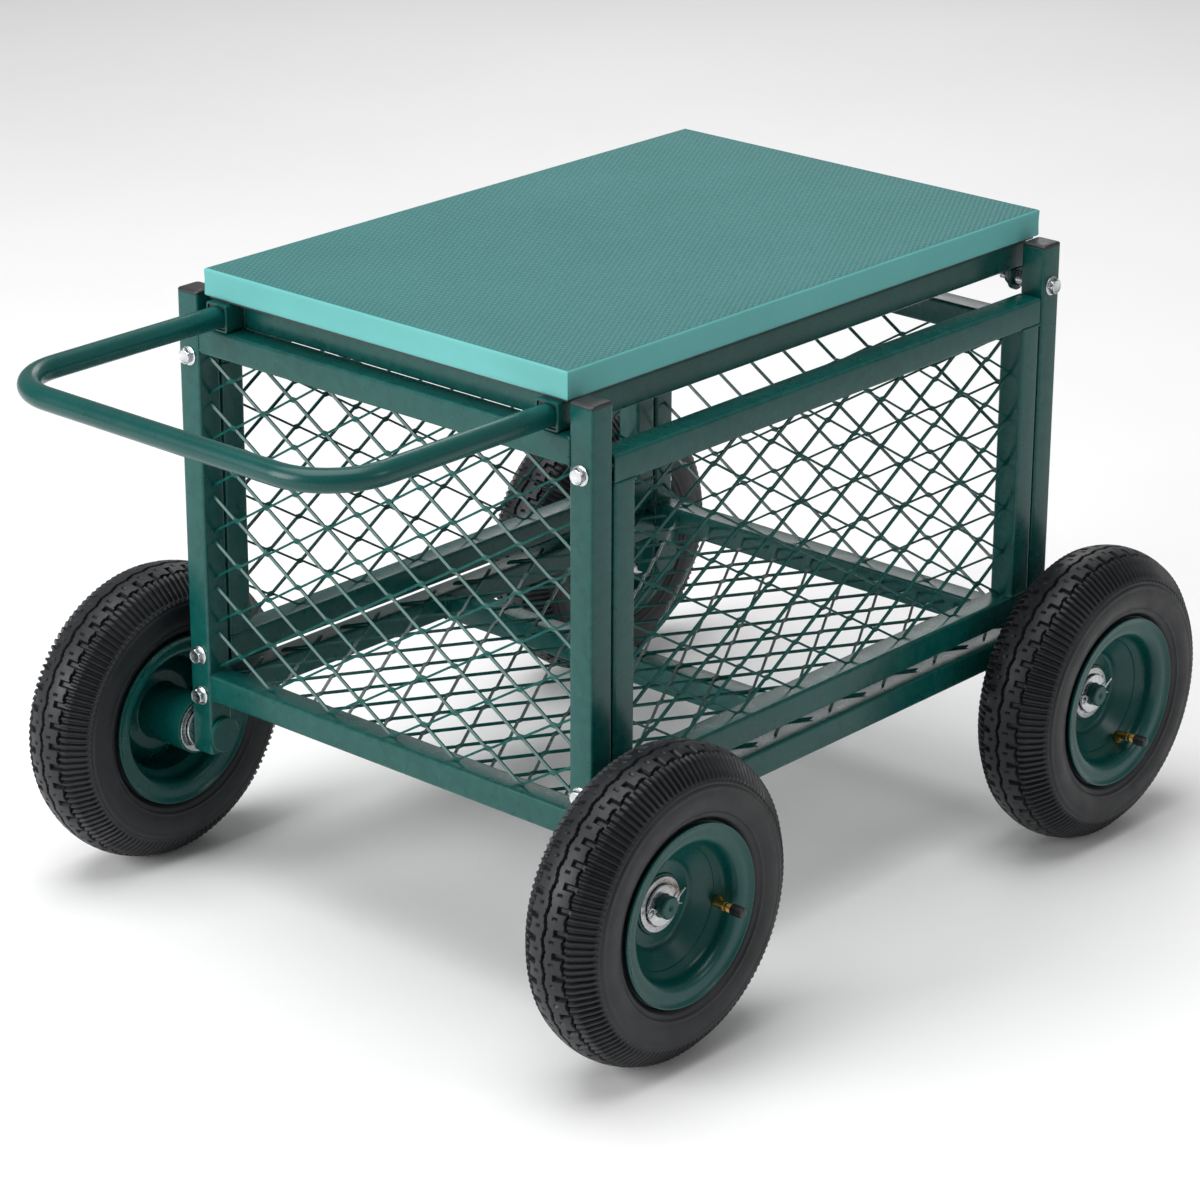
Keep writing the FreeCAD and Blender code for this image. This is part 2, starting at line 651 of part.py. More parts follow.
def inner_tube(name):
    """Hollow air tube that fills the tyre; its skin follows the tyre's inside."""
    gap = S["side_play"]
    bead_y = S["rim_half_width"] - 2 * S["rim_sheet"] - gap
    mid_r, mid_y, radius, _ = side_arc(bead_y, gap)
    loops = []
    for skin in (size(0), S["tube_skin"]):
        offset = S["tyre_wall"] + gap + skin
        arc = radius - offset
        side_y = (bead_y - S["bead_width"]) * 0.85 - gap - skin
        rise = side_y - mid_y
        run = (arc * arc - rise * rise).root()
        foot_y = bead_y - S["bead_width"] - 3 * gap - skin
        foot_r = S["bead_radius"] + S["rim_sheet"] + skin
        top_r = S["tyre_radius"] - S["tread_depth"] - gap - skin
        top_y = S["tyre_half_width"] * 0.36 - skin
        corners = [
            (foot_r, -foot_y), (mid_r - run, -side_y), (mid_r + run, -side_y), (top_r, -top_y),
            (top_r, top_y), (mid_r + run, side_y), (mid_r - run, side_y), (foot_r, foot_y),
        ]
        loops.append((corners, {1: (mid_r, -mid_y), 5: (mid_r, mid_y)}))
    return revolved_body(name, loops)


def rim(name):
    """Pressed rim, dished web and hub barrel, welded into one piece, with the valve's hole."""
    sheet_side = S["rim_sheet"]
    flange = S["rim_half_width"]
    flange_r = RIM_R
    bead = S["bead_radius"]
    well = WELL_R
    seat_y = flange - 2 * sheet_side
    flange_y = flange - sheet_side
    well_y = S["well_half_width"]
    slope = S["well_slope"]
    slant = (1 + slope * slope).root() - slope
    lip_r = bead - sheet_side / 4
    slope_y = well_y + slope * (lip_r - well)
    web = S["web_sheet"]
    foot = S["web_foot"]
    foot_y = S["web_root"] + S["web_step"]
    web_y = well_y + sheet_side * slant - S["web_lap"]
    cone = (web_y - foot_y) / (well - sheet_side - foot)
    across = web * (1 + cone * cone).root()
    step_r = foot - S["web_step"] * 0.6
    hub_in = HUB_INNER + S["bearing_lip"] - S["wheel_offset"]
    hub_out = HUB_OUTER - S["bearing_lip"] - S["wheel_offset"]
    seat_r = S["bearing_radius"] + S["running_play"]
    bore_r = S["bearing_radius"] - S["bearing_shoulder"]
    depth = S["bearing_width"] - S["bearing_lip"]
    tyre_side = [
        (flange_r, flange), (flange_r, flange_y), (flange_r - sheet_side * 1.5, seat_y),
        (bead, seat_y), (lip_r, slope_y), (well, well_y),
    ]
    axle_side = [
        (well - sheet_side, well_y + sheet_side * slant), (lip_r - sheet_side, slope_y + sheet_side * slant),
        (bead - sheet_side, flange_y), (flange_r - sheet_side * 2, flange_y),
        (flange_r - sheet_side / 2, flange),
    ]
    web_out = [
        (HUB_R, S["web_root"]), (step_r, S["web_root"]), (foot, foot_y), (well - sheet_side, web_y),
    ]
    web_in = [
        (well - sheet_side, web_y - across), (foot, foot_y - across), (step_r, S["web_root"] - web),
        (HUB_R, S["web_root"] - web),
    ]
    hub = [
        (HUB_R, hub_in), (seat_r, hub_in), (seat_r, hub_in + depth),
        (bore_r, hub_in + depth), (bore_r, hub_out - depth), (seat_r, hub_out - depth),
        (seat_r, hub_out), (HUB_R, hub_out),
    ]
    far_tyre_side = [(u, -v) for u, v in reversed(tyre_side)]
    far_axle_side = [(u, -v) for u, v in reversed(axle_side)]
    corners = tyre_side + far_tyre_side + far_axle_side + web_in + hub + web_out + axle_side
    body = revolved_body(name, [(corners, {})])
    hole = rod("X", well - 3 * sheet_side, S["valve_place"], size(0),
               S["valve_radius"] + 2 * S["plug_play"], 6 * sheet_side)
    return cut(body, [hole])


def bearings(name):
    """Flanged bearings: each ring is pressed into the hub up to its flange."""
    width = S["bearing_width"]
    lip = S["bearing_lip"]
    rings = []
    for start, lip_start in ((HUB_INNER, HUB_INNER), (HUB_OUTER - width, HUB_OUTER - lip)):
        y = start - S["wheel_offset"]
        ring = rod("Y", size(0), y, size(0), S["bearing_radius"], width)
        flange = rod("Y", size(0), lip_start - S["wheel_offset"], size(0), BEARING_FLANGE, lip)
        bore = rod("Y", size(0), y, size(0), S["axle_radius"] + S["running_play"], width)
        rings.append(cut(fused([ring, flange]), [bore]))
    together = group(rings)
    together.Label = name
    return together


def valve(name):
    """Brass stem through the rim, an elbow, and a stem along the axle with a plastic cap on it."""
    elbow_r = WELL_R - S["valve_drop"]
    top_r = S["bead_radius"] + S["rim_sheet"] - S["side_play"]
    radius = S["valve_radius"]
    y = S["valve_place"]
    stem = rod("X", elbow_r, y, size(0), radius, top_r - elbow_r)
    elbow = doc.addObject("Part::Sphere", "elbow")
    bind(elbow, Radius=radius)
    place(elbow, elbow_r, y, size(0))
    outward = rod("Y", elbow_r, y, size(0), radius, S["valve_length"])
    cap = rod("Y", elbow_r, y + S["valve_length"], size(0), radius + 0.8, S["valve_cap"])
    body = fused([stem, elbow, outward, cap])
    body.Label = name
    return body


def wheels():
    for end, sx in ENDS:
        for hand, sy in SIDES:
            corner = "%s_%s" % (end, hand)
            outward = FreeCAD.Rotation(FreeCAD.Vector(0, 0, 1), 0 if sy > 0 else 180)
            about_axle = FreeCAD.Rotation(FreeCAD.Vector(0, 1, 0), VALVE_ANGLES[corner])
            turn = outward.multiply(about_axle)
            for kind, build in (("tyre", tyre), ("inner_tube", inner_tube), ("rim", rim),
                                ("bearings", bearings), ("valve", valve)):
                label = "%s_%s" % (kind, corner)
                piece = build(label + "_shape")
                place(piece, MID_X + sx * HALF_BASE, sy * WHEEL_Y, AXLE_Z, turn)
                subpart(label, piece)


# ---- seat ----
def flat_sketch(body, name):
    plane = [f for f in body.Origin.OriginFeatures if f.Role == "XY_Plane"][0]
    sketch = body.newObject("Sketcher::SketchObject", name)
    sketch.AttachmentSupport = [(plane, "")]
    sketch.MapMode = "FlatFace"
    return sketch


def seat_pad():
    body = doc.addObject("PartDesign::Body", "pad_body")
    outline = flat_sketch(body, "pad_outline")
    corners = [(size(0), -PAD_Y), (PAD_LENGTH, -PAD_Y), (PAD_LENGTH, PAD_Y), (size(0), PAD_Y)]
    draw_loop(outline, corners, {})
    slab = body.newObject("PartDesign::Pad", "pad_slab")
    slab.Profile = outline
    slab.setExpression("Length", S["pad_height"].text)
    body.Tip = slab
    doc.recompute()
    upright = []
    for index, edge in enumerate(slab.Shape.Edges, start=1):
        if abs(edge.Vertexes[0].Z - edge.Vertexes[1].Z) > 1:
            upright.append("Edge%d" % index)
    rounded = body.newObject("PartDesign::Fillet", "pad_corners")
    rounded.Base = (slab, upright)
    rounded.setExpression("Radius", (S["pad_round"] * 1.6).text)
    body.Tip = rounded
    doc.recompute()
    top = max(vertex.Z for vertex in rounded.Shape.Vertexes)
    rim_edges = []
    for index, edge in enumerate(rounded.Shape.Edges, start=1):
        if all(abs(vertex.Z - top) < 1e-6 for vertex in edge.Vertexes):
            rim_edges.append("Edge%d" % index)
    softened = body.newObject("PartDesign::Fillet", "pad_edges")
    softened.Base = (rounded, rim_edges)
    softened.setExpression("Radius", S["pad_round"].text)
    body.Tip = softened
    place(body, PAD_X, size(0), SEAT_TOP + S["board"])
    subpart("seat_pad", body)


def seat_frame():
    inset = S["board_inset"]
    board = block(PAD_X + inset, inset - PAD_Y, SEAT_TOP, PAD_LENGTH - 2 * inset, 2 * PAD_Y - 2 * inset,
                  S["board"])
    subpart("seat_board", board)
    for hand, sy in SIDES:
        y = mirrored(sy, SEAT_Y - S["tube"], S["tube"])
        rail = square_tube("X", FRONT_FACE, y, SEAT_BOTTOM, SEAT_RAIL)
        subpart("seat_rail_%s" % hand, rail)
    front = FRONT_FACE + S["crossrail_setback"]
    rear = FRONT_FACE + SEAT_RAIL - S["crossrail_setback"] - S["tube"]
    inner = SEAT_Y - S["tube"]
    for name, x in (("front", front), ("middle", (front + rear) / 2), ("rear", rear)):
        rail = square_tube("Y", x, -inner, SEAT_BOTTOM, 2 * inner)
        subpart("seat_%s_crossrail" % name, rail)


def hinge():
    """Ears welded under the seat's side rails turn on bolts fixed in the rear posts."""
    ears = []
    bolts = []
    spacers = []
    nuts = []
    ear_r = S["ear_radius"]
    running = S["bolt_radius"] + S["running_play"]
    nut_start = SEAT_Y - S["ear"] - S["side_play"] - S["nut_height"]
    reach = HALF_WIDTH - nut_start + S["hinge_bolt_end"]
    for _, sy in SIDES:
        ear_y = mirrored(sy, SEAT_Y - S["ear"], S["ear"])
        plate = block(REAR_X - ear_r, ear_y, HINGE_Z, 2 * ear_r, S["ear"], S["hinge_drop"])
        round_end = rod("Y", REAR_X, ear_y, HINGE_Z, ear_r, S["ear"])
        above = block(REAR_X - ear_r, ear_y, SEAT_BOTTOM, 2 * ear_r, S["ear"], ear_r)
        hole = rod("Y", REAR_X, ear_y, HINGE_Z, running, S["ear"])
        ears.append(cut(fused([plate, round_end]), [above, hole]))
        head_y = mirrored(sy, HALF_WIDTH + S["flange"], S["bolt_head"])
        flange_y = mirrored(sy, HALF_WIDTH, S["flange"])
        shank_y = mirrored(sy, HALF_WIDTH - reach, reach)
        bolts.append(fused([
            hexagon("Y", REAR_X, head_y, HINGE_Z, S["bolt_head_radius"], S["bolt_head"]),
            rod("Y", REAR_X, flange_y, HINGE_Z, S["flange_radius"], S["flange"]),
            rod("Y", REAR_X, shank_y, HINGE_Z, S["bolt_radius"], reach),
        ]))
        length = INNER_Y - SEAT_Y - S["side_play"]
        spacer_y = mirrored(sy, INNER_Y - length, length)
        spacers.append(cut(rod("Y", REAR_X, spacer_y, HINGE_Z, S["bolt_head_radius"], length),
                           [rod("Y", REAR_X, spacer_y, HINGE_Z, running, length)]))
        nut_y = mirrored(sy, nut_start, S["nut_height"])
        nuts.append(cut(
            hexagon("Y", REAR_X, nut_y, HINGE_Z, S["bolt_head_radius"], S["nut_height"]),
            [rod("Y", REAR_X, nut_y, HINGE_Z, running, S["nut_height"])]))
    for label, pieces in (("hinge_ears", ears), ("hinge_bolts", bolts),
                          ("hinge_spacers", spacers), ("hinge_nuts", nuts)):
        subpart(label, group(pieces))


# ---- handle ----
BUSH_X = FRONT_FACE + S["bush_recess"]
ARM_END = BUSH_X + S["bush_length"] + 1
BAR_X = FRONT_FACE - S["handle_reach"]


def handle():
    """One bent tube: the path starts at the inner end of the left arm."""
    body = doc.addObject("PartDesign::Body", "handle_body")
    path = flat_sketch(body, "handle_path")
    bend = S["handle_bend"]
    arm = ARM_END - BAR_X - bend
    wide = 2 * ARM_Y
    far = arm + bend
    corners = [(size(0), size(0)), (-arm, size(0)), (-far, bend), (-far, wide - bend), (-arm, wide),
               (size(0), wide)]
    draw_loop(path, corners, {1: (-arm, bend), 3: (-arm, wide - bend)}, closed=False)
    plane = [f for f in body.Origin.OriginFeatures if f.Role == "YZ_Plane"][0]
    section = body.newObject("Sketcher::SketchObject", "handle_section")
    section.AttachmentSupport = [(plane, "")]
    section.MapMode = "FlatFace"
    for index, radius in enumerate((HANDLE_R, HANDLE_R - S["handle_wall"])):
        circle = Part.Circle(FreeCAD.Vector(0, 0, 0), FreeCAD.Vector(0, 0, 1), radius.value)
        section.addGeometry(circle, False)
        section.addConstraint(Sketcher.Constraint("Coincident", index, 3, -1, 1))
        held = section.addConstraint(Sketcher.Constraint("Radius", index, radius.value))
        section.setExpression("Constraints[%d]" % held, radius.text)
    tube = body.newObject("PartDesign::AdditivePipe", "handle_pipe")
    tube.Profile = section
    tube.Spine = path
    body.Tip = tube
    place(body, ARM_END, -ARM_Y, SEAT_MID_Z)
    subpart("handle_tube", body)


def handle_guides():
    bushes = []
    glides = []
    bush_side = BORE - 2 * S["running_play"]
    glide_side = BORE - 2 * S["plug_play"]
    for _, sy in SIDES:
        y = sy * ARM_Y
        sleeve = block(BUSH_X, y - bush_side / 2, SEAT_MID_Z - bush_side / 2,
                       S["bush_length"], bush_side, bush_side)
        bore = rod("X", BUSH_X, y, SEAT_MID_Z, HANDLE_R + S["running_play"], S["bush_length"])
        bushes.append(cut(sleeve, [bore]))
        head = block(ARM_END, y - glide_side / 2, SEAT_MID_Z - glide_side / 2,
                     S["glide_length"], glide_side, glide_side)
        spigot = rod("X", ARM_END - S["glide_spigot"], y, SEAT_MID_Z,
                     HANDLE_R - S["handle_wall"] - S["running_play"], S["glide_spigot"])
        glides.append(fused([head, spigot]))
    subpart("handle_guide_bushes", group(bushes))
    subpart("handle_end_glides", group(glides))


def check_and_export():
    doc.recompute()
    for thing in doc.Objects:
        if "Invalid" in thing.State or "Error" in thing.State:
            raise RuntimeError("%s (%s) failed: %s" % (thing.Name, thing.Label, thing.State))
    for thing in subparts:
        if thing.Shape.isNull() or not thing.Shape.isValid() or not thing.Shape.Solids:
            raise RuntimeError("bad shape: " + thing.Label)
    os.makedirs("parts", exist_ok=True)
    for thing in subparts:
        thing.Shape.exportStep("parts/%s.step" % thing.Label)


posts()
post_caps()
end_rails()
side_frames()
floor_frame()
meshes()
frame_bolts()
stub_axles()
axle_washers()
split_pins()
wheels()
seat_pad()
seat_frame()
hinge()
handle()
handle_guides()
check_and_export()
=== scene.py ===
import json
import math
import random

import bmesh
import bpy
from mathutils import Matrix, Vector, noise


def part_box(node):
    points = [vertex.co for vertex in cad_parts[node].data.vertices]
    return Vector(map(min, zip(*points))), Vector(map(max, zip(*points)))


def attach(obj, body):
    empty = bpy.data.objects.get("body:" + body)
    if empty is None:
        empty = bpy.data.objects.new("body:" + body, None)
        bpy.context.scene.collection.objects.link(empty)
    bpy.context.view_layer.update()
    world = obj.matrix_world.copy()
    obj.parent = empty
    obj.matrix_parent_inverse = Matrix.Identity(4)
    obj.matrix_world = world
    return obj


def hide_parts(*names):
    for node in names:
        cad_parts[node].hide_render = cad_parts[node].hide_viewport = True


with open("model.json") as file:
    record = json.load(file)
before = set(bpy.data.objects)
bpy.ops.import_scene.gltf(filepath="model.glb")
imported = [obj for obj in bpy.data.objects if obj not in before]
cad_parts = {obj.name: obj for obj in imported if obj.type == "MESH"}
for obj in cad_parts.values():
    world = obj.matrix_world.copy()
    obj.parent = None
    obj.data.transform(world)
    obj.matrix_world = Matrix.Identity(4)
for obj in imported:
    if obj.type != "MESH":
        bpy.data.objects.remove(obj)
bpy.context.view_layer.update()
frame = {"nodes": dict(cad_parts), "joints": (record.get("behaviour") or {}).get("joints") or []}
NODES = frame["nodes"]
MM = 0.001
CORNERS = [(end, hand) for end in ("front", "rear") for hand in ("left", "right")]


# ---------------------------------------------------------------- materials
class Graph:
    """A small helper that adds nodes to one material."""

    def __init__(self, name):
        self.material = bpy.data.materials.new(name)
        self.material.use_nodes = True
        self.tree = self.material.node_tree
        self.shader = self.tree.nodes["Principled BSDF"]

    def add(self, kind, **settings):
        node = self.tree.nodes.new(kind)
        for key, value in settings.items():
            setattr(node, key, value)
        return node

    def link(self, source, target):
        self.tree.links.new(source, target)

    def put(self, node, **values):
        for key, value in values.items():
            socket = node.inputs[key.replace("_", " ")]
            if hasattr(value, "links") or isinstance(value, bpy.types.NodeSocket):
                self.link(value, socket)
            else:
                socket.default_value = value
        return node

    def coords(self):
        return self.add("ShaderNodeTexCoord").outputs["Object"]

    def noise(self, scale, detail=4.0, roughness=0.55, vector=None):
        node = self.add("ShaderNodeTexNoise")
        self.put(node, Scale=scale, Detail=detail, Roughness=roughness)
        self.link(vector or self.coords(), node.inputs["Vector"])
        return node.outputs["Fac"]

    def ramp(self, source, stops):
        node = self.add("ShaderNodeValToRGB")
        elements = node.color_ramp.elements
        while len(elements) < len(stops):
            elements.new(0.5)
        for element, (place, colour) in zip(elements, stops):
            element.position = place
            element.color = (*colour, 1.0) if hasattr(colour, "__len__") else (colour,) * 3 + (1.0,)
        self.link(source, node.inputs["Fac"])
        return node.outputs["Color"]

    def math(self, operation, a, b=None):
        node = self.add("ShaderNodeMath", operation=operation)
        for slot, value in enumerate((a, b)):
            if value is None:
                continue
            if isinstance(value, (int, float)):
                node.inputs[slot].default_value = value
            else:
                self.link(value, node.inputs[slot])
        return node.outputs["Value"]

    def mix(self, factor, a, b, blend="MIX"):
        node = self.add("ShaderNodeMix", data_type="RGBA", blend_type=blend)
        for socket, value in ((node.inputs[0], factor), (node.inputs[6], a), (node.inputs[7], b)):
            if isinstance(value, (int, float)):
                socket.default_value = value
            elif isinstance(value, tuple):
                socket.default_value = (*value, 1.0)
            else:
                self.link(value, socket)
        return node.outputs[2]

    def bump(self, height, strength, distance, normal=None):
        node = self.add("ShaderNodeBump")
        self.put(node, Strength=strength, Distance=distance, Height=height)
        if normal is not None:
            self.link(normal, node.inputs["Normal"])
        return node.outputs["Normal"]

    def finish(self, **values):
        for key, value in values.items():
            socket = self.shader.inputs[key.replace("_", " ")]
            if isinstance(value, bpy.types.NodeSocket):
                self.link(value, socket)
            elif isinstance(value, tuple) and len(value) == 3:
                socket.default_value = (*value, 1.0)
            else:
                socket.default_value = value
        return self.material


def powder_coat(name):
    """Satin powder coat: orange-peel skin, faint cloudiness, edges rubbed a little lighter, some dust."""
    g = Graph(name)
    cloud = g.noise(9.0, 3.0)
    colour = g.ramp(cloud, [(0.3, (0.0008, 0.055, 0.049)), (0.7, (0.0014, 0.072, 0.065))])
    edge = g.ramp(g.add("ShaderNodeNewGeometry").outputs["Pointiness"], [(0.52, 0.0), (0.62, 1.0)])
    worn = g.math("MULTIPLY", edge, g.ramp(g.noise(120.0, 5.0), [(0.42, 0.0), (0.6, 0.45)]))
    colour = g.mix(worn, colour, (0.012, 0.12, 0.095))
    dust = g.ramp(g.noise(38.0, 8.0, 0.7), [(0.55, 0.0), (0.8, 0.04)])
    colour = g.mix(dust, colour, (0.06, 0.15, 0.135))
    rough = g.ramp(g.noise(60.0, 5.0), [(0.3, 0.24), (0.7, 0.34)])
    skin = g.bump(g.noise(1500.0, 2.0), 0.1, 0.0003)
    return g.finish(Base_Color=colour, Roughness=rough, Normal=skin, Specular_IOR_Level=0.3,
                    Coat_Weight=0.1, Coat_Roughness=0.2)


def tyre_rubber(name):
    g = Graph(name)
    tone = g.noise(30.0, 6.0, 0.65)
    colour = g.ramp(tone, [(0.3, (0.006, 0.0068, 0.0085)), (0.7, (0.0115, 0.0125, 0.0155))])
    chalk = g.ramp(g.noise(210.0, 8.0, 0.75), [(0.6, 0.0), (0.85, 0.18)])
    colour = g.mix(chalk, colour, (0.05, 0.052, 0.057))
    rough = g.ramp(g.noise(85.0, 4.0), [(0.3, 0.38), (0.7, 0.52)])
    grain = g.bump(g.noise(900.0, 4.0), 0.25, 0.0004)
    return g.finish(Base_Color=colour, Roughness=rough, Normal=grain, Specular_IOR_Level=0.4)


def plain_rubber(name, low, high, rough_low, rough_high, scale=70.0):
    """Moulded rubber or plastic: fine grain, faint mottling."""
    g = Graph(name)
    colour = g.ramp(g.noise(scale, 5.0), [(0.3, low), (0.7, high)])
    rough = g.ramp(g.noise(scale * 2, 4.0), [(0.3, rough_low), (0.7, rough_high)])
    grain = g.bump(g.noise(1400.0, 3.0), 0.15, 0.0003)
    return g.finish(Base_Color=colour, Roughness=rough, Normal=grain)


def metal(name, low, high, rough_low, rough_high, scratch=0.06):
    g = Graph(name)
    mottled = g.noise(160.0, 6.0, 0.7)
    colour = g.ramp(mottled, [(0.3, low), (0.7, high)])
    rough = g.ramp(g.noise(420.0, 5.0), [(0.3, rough_low), (0.7, rough_high)])
    stretched = g.add("ShaderNodeMapping")
    g.put(stretched, Vector=g.coords())
    stretched.inputs["Scale"].default_value = (1.0, 9.0, 1.0)
    lines = g.noise(700.0, 3.0, 0.6, stretched.outputs["Vector"])
    return g.finish(Base_Color=colour, Roughness=rough, Metallic=1.0,
                    Normal=g.bump(lines, scratch, 0.0002))


def pad_foam(name):
    """Closed-cell foam: diamond knurl pressed into the top, plain fine-celled skin on the cut sides; the top
    is coloured darker than the sides and darker still in the knurl grooves, which is painted shade.
    """
    g = Graph(name)
    split = g.add("ShaderNodeSeparateXYZ")
    g.link(g.coords(), split.inputs["Vector"])
    x = split.outputs["X"]
    y = split.outputs["Y"]
    ridges = []
    for sign in (1.0, -1.0):
        along = g.math("ADD", g.math("MULTIPLY", x, 1.0 / 0.0072), g.math("MULTIPLY", y, sign / 0.0042))
        ridges.append(g.math("PINGPONG", along, 0.5))
    knurl = g.math("MULTIPLY", g.math("MINIMUM", *ridges), 2.0)
    up = g.add("ShaderNodeSeparateXYZ")
    g.link(g.add("ShaderNodeTexCoord").outputs["Normal"], up.inputs["Vector"])
    top = g.ramp(up.outputs["Z"], [(0.9, 0.0), (0.985, 1.0)])
    cells = g.noise(2600.0, 3.0)
    height = g.math("ADD", g.math("MULTIPLY", g.math("MULTIPLY", knurl, top), 1.0),
                    g.math("MULTIPLY", cells, 0.12))
    normal = g.bump(height, 0.75, 0.0007)
    cloud = g.noise(14.0, 4.0)
    side = g.ramp(cloud, [(0.3, (0.115, 0.4, 0.385)), (0.7, (0.13, 0.435, 0.42))])
    # painted shade: the top's colour is darker than the cut sides' colour and darkest in the knurl grooves
    painted_shade_top = g.ramp(knurl, [(0.0, (0.022, 0.115, 0.112)), (0.6, (0.04, 0.19, 0.185)),
                          (1.0, (0.055, 0.225, 0.22))])
    painted_shade_top = g.mix(g.ramp(cloud, [(0.35, 0.0), (0.7, 0.18)]), painted_shade_top, (0.06, 0.235, 0.23))
    colour = g.mix(top, side, painted_shade_top)
    rough = g.ramp(g.noise(300.0, 4.0), [(0.3, 0.52), (0.7, 0.66)])
    return g.finish(Base_Color=colour, Roughness=rough, Normal=normal, Specular_IOR_Level=0.3)


def paper_floor(name):
    g = Graph(name)
    colour = g.ramp(g.noise(2.0, 3.0), [(0.3, (0.9, 0.9, 0.9)), (0.7, (0.93, 0.93, 0.93))])
    return g.finish(Base_Color=colour, Roughness=g.ramp(g.noise(40.0), [(0.3, 0.75), (0.7, 0.85)]))


PAINT = powder_coat("green_powder_coat")
TYRE = tyre_rubber("tyre_rubber")
TUBE_RUBBER = plain_rubber("butyl_rubber", (0.008, 0.008, 0.008), (0.018, 0.018, 0.018), 0.5, 0.65)
PLASTIC = plain_rubber("black_plastic", (0.011, 0.012, 0.013), (0.02, 0.021, 0.023), 0.36, 0.5)
BOARD = plain_rubber("board_panel", (0.02, 0.021, 0.021), (0.035, 0.036, 0.036), 0.55, 0.7, 25.0)
ZINC = metal("zinc_plate", (0.5, 0.52, 0.54), (0.72, 0.73, 0.74), 0.2, 0.36)
BEARING = metal("bearing_steel", (0.4, 0.4, 0.41), (0.6, 0.6, 0.61), 0.22, 0.34)
BRASS = metal("brass", (0.45, 0.27, 0.07), (0.62, 0.4, 0.12), 0.24, 0.38)
FOAM = pad_foam("foam_pad")


# ---------------------------------------------------------------- mesh helpers
def mesh_object(name, vertices, faces, material, smooth=30.0):
    mesh = bpy.data.meshes.new(name)
    mesh.from_pydata([tuple(v) for v in vertices], [], faces)
    return finish_mesh(name, mesh, material, smooth)


def finish_mesh(name, mesh, material, smooth=30.0):
    tidy = bmesh.new()
    tidy.from_mesh(mesh)
    bmesh.ops.recalc_face_normals(tidy, faces=tidy.faces)
    tidy.to_mesh(mesh)
    tidy.free()
    mesh.validate()
    mesh.shade_smooth()
    mesh.set_sharp_from_angle(angle=math.radians(smooth))
    thing = bpy.data.objects.new(name, mesh)
    bpy.context.scene.collection.objects.link(thing)
    mesh.materials.append(material)
    return thing


def ring_grid(rings, close_rings):
    """Faces that join equal rings of points one after another; close_rings joins last to first."""
    count = len(rings[0])
    total = len(rings)
    faces = []
    for r in range(total if close_rings else total - 1):
        a = r * count
        b = ((r + 1) % total) * count
        for i in range(count):
            j = (i + 1) % count
            faces.append((a + i, a + j, b + j, b + i))
    return faces


class Pile:
    """Several closed pieces gathered into one mesh."""

    def __init__(self):
        self.vertices = []
        self.faces = []

    def rings(self, rings, closed=False):
        """closed: the last ring joins the first; otherwise both ends are capped flat."""
        base = len(self.vertices)
        count = len(rings[0])
        for ring in rings:
            self.vertices.extend(Vector(p) for p in ring)
        self.faces.extend(tuple(base + i for i in face) for face in ring_grid(rings, closed))
        if not closed:
            self.faces.append(tuple(base + i for i in range(count)))
            self.faces.append(tuple(base + (len(rings) - 1) * count + i for i in reversed(range(count))))
        return self

    def build(self, name, material, smooth=30.0, matrix=None):
        points = [matrix @ v for v in self.vertices] if matrix is not None else self.vertices
        return mesh_object(name, points, self.faces, material, smooth)


def softened(points, radius, steps=3, closed=True, share=0.45):
    """Polygon (2-D) with its corners rounded; radius may be a number or one number per corner."""
    result = []
    total = len(points)
    for i, corner in enumerate(points):
        r = radius[i] if hasattr(radius, "__len__") else radius
        if r <= 0 or (not closed and i in (0, total - 1)):
            result.append(tuple(corner))
            continue
        here = Vector(corner)
        before = Vector(points[i - 1]) - here
        after = Vector(points[(i + 1) % total]) - here
        reach = min(r, before.length * share, after.length * share)
        p0 = here + before.normalized() * reach
        p2 = here + after.normalized() * reach
        for s in range(steps + 1):
            t = s / steps
            result.append(tuple(p0 * (1 - t) ** 2 + here * (2 * t * (1 - t)) + p2 * t ** 2))
    return result


def lathe(profile, segments):
    """Rings of a closed section (along, radius) turned about the Y axis."""
    rings = []
    for s in range(segments):
        angle = 2 * math.pi * s / segments
        rings.append([(r * math.sin(angle), y, r * math.cos(angle)) for y, r in profile])
    return rings


def sweep(path, radius, sides=16, closed=False):
    """Rings of a round bar along a 3-D path. radius may be a number or a function of the index."""
    points = [Vector(p) for p in path]
    total = len(points)
    rings = []
    normal = None
    for i, here in enumerate(points):
        ahead = points[(i + 1) % total] if closed or i < total - 1 else here
        behind = points[i - 1] if closed or i > 0 else here
        tangent = (ahead - behind).normalized()
        if normal is None:
            normal = tangent.orthogonal().normalized()
        normal = (normal - tangent * normal.dot(tangent)).normalized()
        side = tangent.cross(normal)
        r = radius(i) if callable(radius) else radius
        rings.append([here + (normal * math.cos(a) + side * math.sin(a)) * r
                      for a in (2 * math.pi * k / sides for k in range(sides))])
    return rings


def turn_to(axis):
    """Matrix that takes +Z to the given axis."""
    return Vector((0, 0, 1)).rotation_difference(Vector(axis)).to_matrix().to_4x4()


def finish_piece(thing, body, slot, *nodes):
    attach(thing, body)
    if nodes:
        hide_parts(*nodes)
    return thing


# ---------------------------------------------------------------- square tube
TUBE = 20.0 * MM
WALL = 1.5 * MM
CORNER = 2.4 * MM
EDGE = 0.35 * MM
PLANES = {0: (1, 2), 1: (2, 0), 2: (0, 1)}


